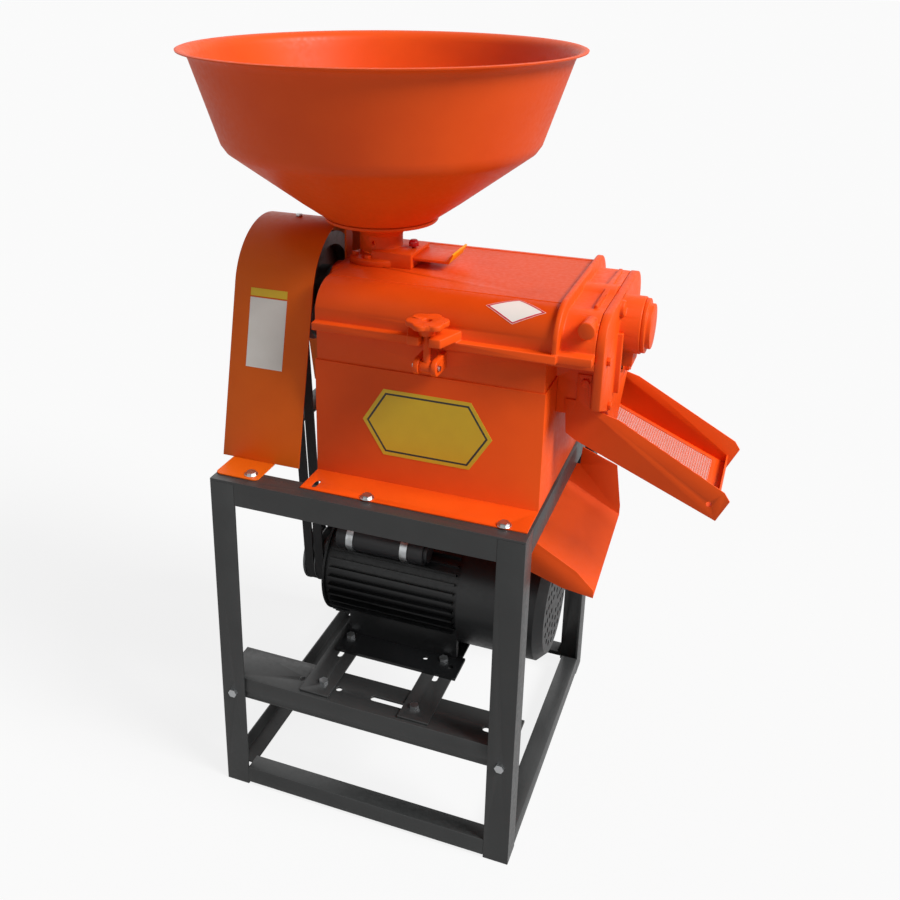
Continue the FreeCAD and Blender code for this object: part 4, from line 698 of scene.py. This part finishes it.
@dataclass
class Castings:
    """The iron castings, with the rounds that their patterns leave."""

    rounds: dict[str, tuple[str, Ride, float]] = field(default_factory=lambda: {
        "cover": ("cover_casting", Ride.COVER, 1.6),
        "base_casting": ("base_casting_body", Ride.STAND, 1.2),
        "end_plate": ("end_plate_casting", Ride.STAND, 1.5),
        "bearing_housing_left": ("left_bearing_housing", Ride.STAND, 1.2),
        "hopper_neck": ("neck_casting", Ride.COVER, 1.0),
        "bearing_cap": ("bearing_cap_casting", Ride.STAND, 1.2),
    })

    def build(self) -> None:
        """Rounds each casting's edges."""
        for node, (name, body, radius) in self.rounds.items():
            softened(node, name, body, "cast", radius)


@dataclass
class SheetWork:
    """Folded sheet parts: skirt, tray and chute, with the small rounds of their folds."""

    rounds: dict[str, tuple[str, float]] = field(default_factory=lambda: {
        "base_skirt": ("skirt_sheet", 0.5),
        "separator_tray": ("tray_sheet", 0.4),
        "bran_chute": ("chute_sheet", 0.4),
    })

    def build(self) -> None:
        """Rounds each sheet's edges."""
        for node, (name, radius) in self.rounds.items():
            softened(node, name, Ride.STAND, "sheet", radius, 30)


@dataclass
class Stand:
    """The angle-iron stand with its rolled edges.

    Attributes:
        lengths: how the names of its lengths of iron start.
        edge_mm: width of their rolled edges.
    """

    lengths: tuple[str, ...] = (
        "stand_leg", "top_rail", "bottom_rail", "motor_rail_front", "motor_rail_rear", "motor_crossbar"
    )
    edge_mm: float = 0.7

    def build(self) -> None:
        """Rounds the edges of every length of angle iron."""
        for node in sorted(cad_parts):
            if node.startswith(self.lengths):
                softened(node, node + "_iron", Ride.STAND, "stand", self.edge_mm)


@dataclass
class CarriedOver:
    """CAD nodes that keep their own mesh, each with its finish."""

    finishes: dict[str, str] = field(default_factory=lambda: {
        "rail_bolts": "zinc", "motor_rail_bolts": "zinc", "crossbar_bolts": "zinc",
        "motor_foot_bolts": "zinc",
        "bearing_left": "turned", "bearing_right": "turned", "sieve_screen": "sheet_steel",
        "milling_roller": "iron", "knife_bar": "turned", "main_shaft": "turned",
        "shaft_nut": "zinc", "main_pulley": "iron", "motor_pulley": "iron",
        "drive_belts": "rubber", "guard_stay": "guard", "motor_housing": "motor",
        "motor_shield_drive": "motor", "motor_shield_fan": "motor", "motor_cowl": "cowl",
        "motor_fan": "black_plastic", "motor_shaft": "turned", "motor_capacitors": "black_plastic",
        "capacitor_clamps": "zinc", "cover_hinge_pins": "turned", "swing_bolt_pin": "turned",
    })

    def build(self) -> None:
        """Gives each node its finish."""
        for node, finish in self.finishes.items():
            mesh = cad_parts[node].data
            mesh.materials.clear()
            mesh.materials.append(FINISHES.get(finish))


@dataclass
class SmallCastings:
    """Clamp, slide and screws: softened copies, some in two finishes.

    Attributes:
        guard_screw_height: the guard's zinc screws lie above it, the painted ones below.
        lip: width of the feed slide's turned-up edge.
    """

    guard_screw_height: float = 900 * MM
    lip: float = 11 * MM

    def build(self) -> None:
        """Rounds the small parts and paints them."""
        softened("hand_nut", "hand_nut_casting", Ride.NUT, "cast", 1.6)
        softened("swing_bolt", "swing_bolt_body", Ride.STAND, "cast", 0.6)
        softened("neck_bolts", "neck_bolt_heads", Ride.COVER, "cast", 0.4)
        screws = softened("casing_screws", "casing_screw_heads", Ride.STAND, "cast", 0.4)
        paint_faces(screws, "zinc", lambda c: c.z > self.guard_screw_height)
        slide = softened("feed_slide", "feed_slide_plate", Ride.GATE, "sheet", 0.5)
        lip_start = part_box("feed_slide")[1].x - self.lip
        paint_faces(slide, "slide", lambda c: c.x > lip_start)
        softened("feed_lock_screw", "lock_screw_knob", Ride.LOCK, "red_plastic", 0.6)


@dataclass
class Washers:
    """Plain zinc washers under the heads of the bolts that hold skirt and guard to the stand.

    Attributes:
        radius: of a washer.
        depth: its thickness.
        flange: thickness of the flanges that it lies on.
        head: a bolt head is narrower than this, and two heads lie further apart.
    """

    radius: float = 10.5 * MM
    depth: float = 1.4 * MM
    flange: float = 2 * MM
    head: float = 20 * MM

    def build(self) -> None:
        """Lays one washer under each bolt head on the top rails."""
        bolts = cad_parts["rail_bolts"].data
        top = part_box("top_rail_front")[1].z + self.flange
        heads: list[list[Vector]] = []
        for vertex in (v.co for v in bolts.vertices if v.co.z > top + self.flange / 2):
            for group in heads:
                if (group[0].xy - vertex.xy).length < self.head:
                    group.append(vertex)
                    break
            else:
                heads.append([vertex])
        made = []
        for group in heads:
            x = (min(v.x for v in group) + max(v.x for v in group)) / 2
            y = (min(v.y for v in group) + max(v.y for v in group)) / 2
            made.append(disc((x, y, top + self.depth / 2), self.radius, self.depth, 32))
        washers = join(made)
        modify(washers, "BEVEL", width=0.3 * MM, segments=1, limit_method="ANGLE")
        settle(washers, 40)
        enlist(washers, "rail_washers", Ride.STAND, "zinc")


@dataclass
class WovenScreen:
    """The tray's woven wire screen: two sets of wires over the tray's slope.

    Attributes:
        pitch: from wire to wire.
        wire: radius of a wire.
        edge: from the tray's sides to the outermost wires.
    """

    pitch: float = 3.6 * MM
    wire: float = 0.55 * MM
    edge: float = 2.0 * MM

    def wires(
        self, middle: Vector, length: float, tilt: tuple[float, float, float], step: Vector, count: int
    ) -> bpy.types.Object:
        """Repeats one wire.

        Args:
            middle: the first wire's middle.
            length: its length.
            tilt: its turn, from upright.
            step: from each wire to the next.
            count: how many wires.

        Returns:
            The set of wires.
        """
        deselect()
        bpy.ops.mesh.primitive_cylinder_add(
            vertices=6, radius=self.wire, depth=length, location=middle, rotation=tilt
        )
        piece = bpy.context.active_object
        bpy.ops.object.transform_apply(location=True, rotation=True, scale=True)
        modify(piece, "ARRAY", count=count, use_relative_offset=False, use_constant_offset=True,
               constant_offset_displace=step)
        return piece

    def build(self) -> None:
        """Weaves the screen between the tray's sides."""
        low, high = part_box("separator_screen")
        fall = math.atan2(high.z - low.z, high.x - low.x)
        slope = Vector((math.cos(fall), 0.0, -math.sin(fall)))
        lift = Vector((math.sin(fall), 0.0, math.cos(fall)))
        start = Vector((low.x, low.y + self.edge, high.z)) - lift * 1 * MM
        run = (high.x - low.x) / math.cos(fall) - 2 * self.edge
        wide = high.y - low.y - 2 * self.edge
        across = self.wires(
            start + slope * self.edge + Vector((0.0, wide / 2, 0.0)), wide, (math.pi / 2, 0.0, 0.0),
            slope * self.pitch, int(run / self.pitch) + 1,
        )
        along = self.wires(
            start + slope * (self.edge + run / 2) + lift * self.wire * 1.2, run,
            (0.0, math.pi / 2 + fall, 0.0), Vector((0.0, self.pitch, 0.0)), int(wide / self.pitch) + 1,
        )
        screen = join([across, along])
        settle(screen, 40, recalculate=False)
        enlist(screen, "woven_screen", Ride.STAND, "screen", "separator_screen")


@dataclass
class RoofSeams:
    """The cast seams where the cover's flat roof meets its shoulders.

    Attributes:
        radius: of a seam.
        roof_half: half the roof's width.
        start: from the cover's left end to a seam's start.
        clear: from a seam's end to the end plate.
    """

    radius: float = 0.9 * MM
    roof_half: float = 110 * MM
    start: float = 1 * MM
    clear: float = 55.5 * MM

    def build(self) -> None:
        """Lays one thin seam along each edge of the roof."""
        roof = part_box("hopper_neck")[0].z
        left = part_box("cover")[0].x + self.start
        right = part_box("end_plate")[0].x - self.clear
        seams = [
            disc(((left + right) / 2, side * self.roof_half, roof), self.radius, right - left, 12, "X")
            for side in (-1, 1)
        ]
        piece = join(seams)
        settle(piece, 60)
        enlist(piece, "roof_seams", Ride.COVER, "cast")


@dataclass
class Plaque:
    """A thin plate or sticker with a border line, pressed on to a surface.

    Attributes:
        name: its name.
        corners: how many corners it has.
        size: its width and height.
        middle: where it is pressed on.
        lean: how far its face is turned up from facing the front, in degrees.
        face: the word for its own finish.
        line: the word for its border's finish.
        margin: from the rim to the border line.
        stroke: the border line's width.
        body: the body that it rides on.
        squareness: how far the corners beside the tips are moved outwards.
        depth: its thickness.
        stand_off: from a surface that it is pressed on to, to its middle.
    """

    name: str
    corners: int
    size: tuple[float, float]
    middle: tuple[float, float, float]
    lean: float
    face: str
    line: str
    margin: float
    stroke: float
    body: Ride
    squareness: float = 1.0
    depth: float = 0.5 * MM
    stand_off: float = 0.4 * MM

    def outline(self) -> bpy.types.Object:
        """Draws the filled outline flat, at its full size, and stays in edit mode."""
        deselect()
        upright = math.pi / 4 if self.squareness > 1 else 0.0
        turn = math.pi / 2 if self.corners == 6 else upright
        bpy.ops.mesh.primitive_circle_add(
            vertices=self.corners, radius=1.0, fill_type="NGON", rotation=(0.0, 0.0, turn)
        )
        piece = bpy.context.active_object
        bpy.ops.object.transform_apply(location=True, rotation=True, scale=True)
        reach_x = max(abs(v.co.x) for v in piece.data.vertices)
        reach_y = max(abs(v.co.y) for v in piece.data.vertices)
        edit(piece)
        bpy.ops.transform.resize(
            value=(self.size[0] / 2 / reach_x, self.size[1] / 2 / reach_y, 1.0),
            center_override=(0.0, 0.0, 0.0),
        )
        if self.corners == 6:
            bpy.ops.mesh.select_mode(type="EDGE")
            choose_edges(piece, lambda a, b: abs(a.y - b.y) < 1e-5)
            bpy.ops.transform.resize(value=(self.squareness, 1.0, 1.0), center_override=(0.0, 0.0, 0.0))
        return piece

    def build(self, target: bpy.types.Object | None = None) -> None:
        """Borders the plate, turns it to its place and presses it on to a piece.

        Args:
            target: the piece that it is pressed on to; a stiff plate has none.
        """
        piece = self.outline()
        piece.data.materials.append(FINISHES.get(self.face))
        piece.data.materials.append(FINISHES.get(self.line))
        bpy.ops.mesh.select_mode(type="FACE")
        bpy.ops.mesh.select_all(action="SELECT")
        if self.margin:
            bpy.ops.mesh.inset(thickness=self.margin)
            piece.active_material_index = 1
            bpy.ops.object.material_slot_assign()
            bpy.ops.mesh.inset(thickness=self.stroke)
            piece.active_material_index = 0
            bpy.ops.object.material_slot_assign()
        bpy.ops.mesh.select_all(action="SELECT")
        if target:
            bpy.ops.mesh.quads_convert_to_tris()
            bpy.ops.mesh.subdivide(number_cuts=7)
        bpy.ops.object.mode_set(mode="OBJECT")
        piece.rotation_euler = (math.radians(90 - self.lean), 0.0, 0.0)
        piece.location = self.middle
        pick(piece)
        bpy.ops.object.transform_apply(location=True, rotation=True, scale=True)
        if target:
            modify(piece, "SHRINKWRAP", target=target, wrap_method="NEAREST_SURFACEPOINT",
                   wrap_mode="ABOVE_SURFACE", offset=self.stand_off)
        modify(piece, "SOLIDIFY", thickness=self.depth, offset=0.0)
        settle(piece, 40)
        enlist(piece, self.name, self.body, "")


@dataclass
class Plates:
    """The blank plate on the skirt, and the blank stickers on cover and guard.

    Attributes:
        skirt_front: place of the plate in Y, just proud of the skirt's front wall.
        guard_x: the guard sticker's middle in X.
        guard_lean: how far the guard's front leg leans, in degrees.
    """

    skirt_front: float = -156.2 * MM
    guard_x: float = -270 * MM
    guard_lean: float = 13.3

    def build(self) -> None:
        """Places them."""
        Plaque(
            name="blank_hexagon_plate", corners=6, size=(198 * MM, 105 * MM),
            middle=(3 * MM, self.skirt_front, 672.5 * MM), lean=0.0, face="yellow_print",
            line="dark_print", margin=5.5 * MM, stroke=3 * MM, body=Ride.STAND, squareness=1.34,
        ).build()
        Plaque(
            name="blank_diamond_sticker", corners=4, size=(84 * MM, 44 * MM),
            middle=(122 * MM, -136 * MM, 862 * MM), lean=50.0, face="white_print", line="red_print",
            margin=0.4 * MM, stroke=2.2 * MM, body=Ride.COVER, depth=0.3 * MM,
        ).build(bpy.data.objects["cover_casting"])
        for name, height, y, z, face in (
            ("blank_guard_sticker", 108 * MM, -122 * MM, 769 * MM, "white_print"),
            ("guard_sticker_band", 12 * MM, -107 * MM, 829.5 * MM, "yellow_print"),
        ):
            Plaque(
                name=name, corners=4, size=(62 * MM, height), middle=(self.guard_x, y, z),
                lean=self.guard_lean, face=face, line=face, margin=0.0, stroke=0.0, body=Ride.STAND,
                squareness=2.0, depth=0.3 * MM,
            ).build(bpy.data.objects["guard_sheet"])


# ---------------------------------------------------------------- stage


@dataclass
class Stage:
    """Floor, light and camera.

    Attributes:
        eye: the camera's place.
        azimuth: its turn about Z, in degrees.
        elevation: how far it looks down, in degrees.
        roll: its turn about its own axis, in degrees.
        lens: its focal length, in millimetres.
        shift: its sideways and upward shift.
        towards: the direction from the huller to the sun.
        sun_power: the sun's strength.
        sun_angle: the angle that it fills, in degrees.
        sky_light: the sky's strength where neither the camera nor a mirror sees it.
    """

    eye: tuple[float, float, float] = (0.459, -1.454, 1.326)
    azimuth: float = 21.8
    elevation: float = 20.7
    roll: float = 0.2
    lens: float = 42.1
    shift: tuple[float, float] = (0.07, -0.12)
    towards: tuple[float, float, float] = (0.72, -0.10, 0.68)
    sun_power: float = 4.0
    sun_angle: float = 26.0
    sky_light: float = 0.22

    def floor(self) -> None:
        """Lays a plain floor that throws little light back and looks pale, with a faint shadow."""
        deselect()
        bpy.ops.mesh.primitive_plane_add(size=60.0, location=(0.0, 0.0, -0.0005))
        plane = bpy.context.active_object
        plane.name = "floor"
        material = bpy.data.materials.new("pale_floor")
        material.use_nodes = True
        tree = material.node_tree
        tree.nodes.clear()
        path = add_node(tree, "ShaderNodeLightPath")
        lit = add_node(tree, "ShaderNodeBsdfDiffuse", {"Color": linear("#BCBCBC")})
        pale = add_node(tree, "ShaderNodeEmission", {"Color": linear("#FFFFFF"), "Strength": 1.06})
        share = add_node(
            tree, "ShaderNodeMath", {0: path.outputs["Is Camera Ray"], 1: 0.8}, operation="MULTIPLY"
        )
        mix = add_node(
            tree, "ShaderNodeMixShader", {0: share.outputs[0], 1: lit.outputs[0], 2: pale.outputs[0]}
        )
        add_node(tree, "ShaderNodeOutputMaterial", {"Surface": mix.outputs[0]})
        plane.data.materials.append(material)

    def world(self) -> None:
        """Sets an even sky, white where the camera or a mirror sees it."""
        world = bpy.data.worlds.new("studio")
        bpy.context.scene.world = world
        world.use_nodes = True
        tree = world.node_tree
        tree.nodes.clear()
        path = add_node(tree, "ShaderNodeLightPath")
        seen = add_node(
            tree, "ShaderNodeMath",
            {0: path.outputs["Is Camera Ray"], 1: path.outputs["Is Glossy Ray"]}, operation="MAXIMUM",
        )
        strength = add_node(
            tree, "ShaderNodeMapRange", {"Value": seen.outputs[0], "To Min": self.sky_light, "To Max": 1.0}
        )
        sky = add_node(
            tree, "ShaderNodeBackground",
            {"Color": linear("#FFFFFF"), "Strength": strength.outputs["Result"]},
        )
        add_node(tree, "ShaderNodeOutputWorld", {"Surface": sky.outputs[0]})

    def sun(self) -> None:
        """Adds the key light, a soft distant lamp."""
        data = bpy.data.lights.new("key", "SUN")
        data.energy, data.angle = self.sun_power, math.radians(self.sun_angle)
        sun = bpy.data.objects.new("key", data)
        bpy.context.scene.collection.objects.link(sun)
        sun.rotation_euler = Vector(self.towards).to_track_quat("Z", "Y").to_euler()

    def camera(self) -> None:
        """Sets up the camera."""
        data = bpy.data.cameras.new("camera")
        data.sensor_width, data.lens = 36.0, self.lens
        data.shift_x, data.shift_y = self.shift
        camera = bpy.data.objects.new("camera", data)
        bpy.context.scene.collection.objects.link(camera)
        camera.location = self.eye
        camera.rotation_mode = "XYZ"
        camera.rotation_euler = (
            math.radians(90 - self.elevation), math.radians(-self.roll), math.radians(self.azimuth)
        )
        bpy.context.scene.camera = camera

    def build(self) -> None:
        """Builds the stage."""
        self.floor()
        self.world()
        self.sun()
        self.camera()
        bpy.context.scene.view_settings.view_transform = "Standard"


def main() -> None:
    """Builds the stage and every assembly in order."""
    logging.basicConfig(level=logging.INFO, format="%(name)s: %(message)s")
    Stage().build()
    for assembly in (
        CarriedOver(), Stand(), Castings(), SmallCastings(), SheetWork(), Hopper(), BeltGuard(),
        WovenScreen(), Washers(), RoofSeams(), Plates(),
    ):
        assembly.build()


if __name__ == "__main__":
    main()
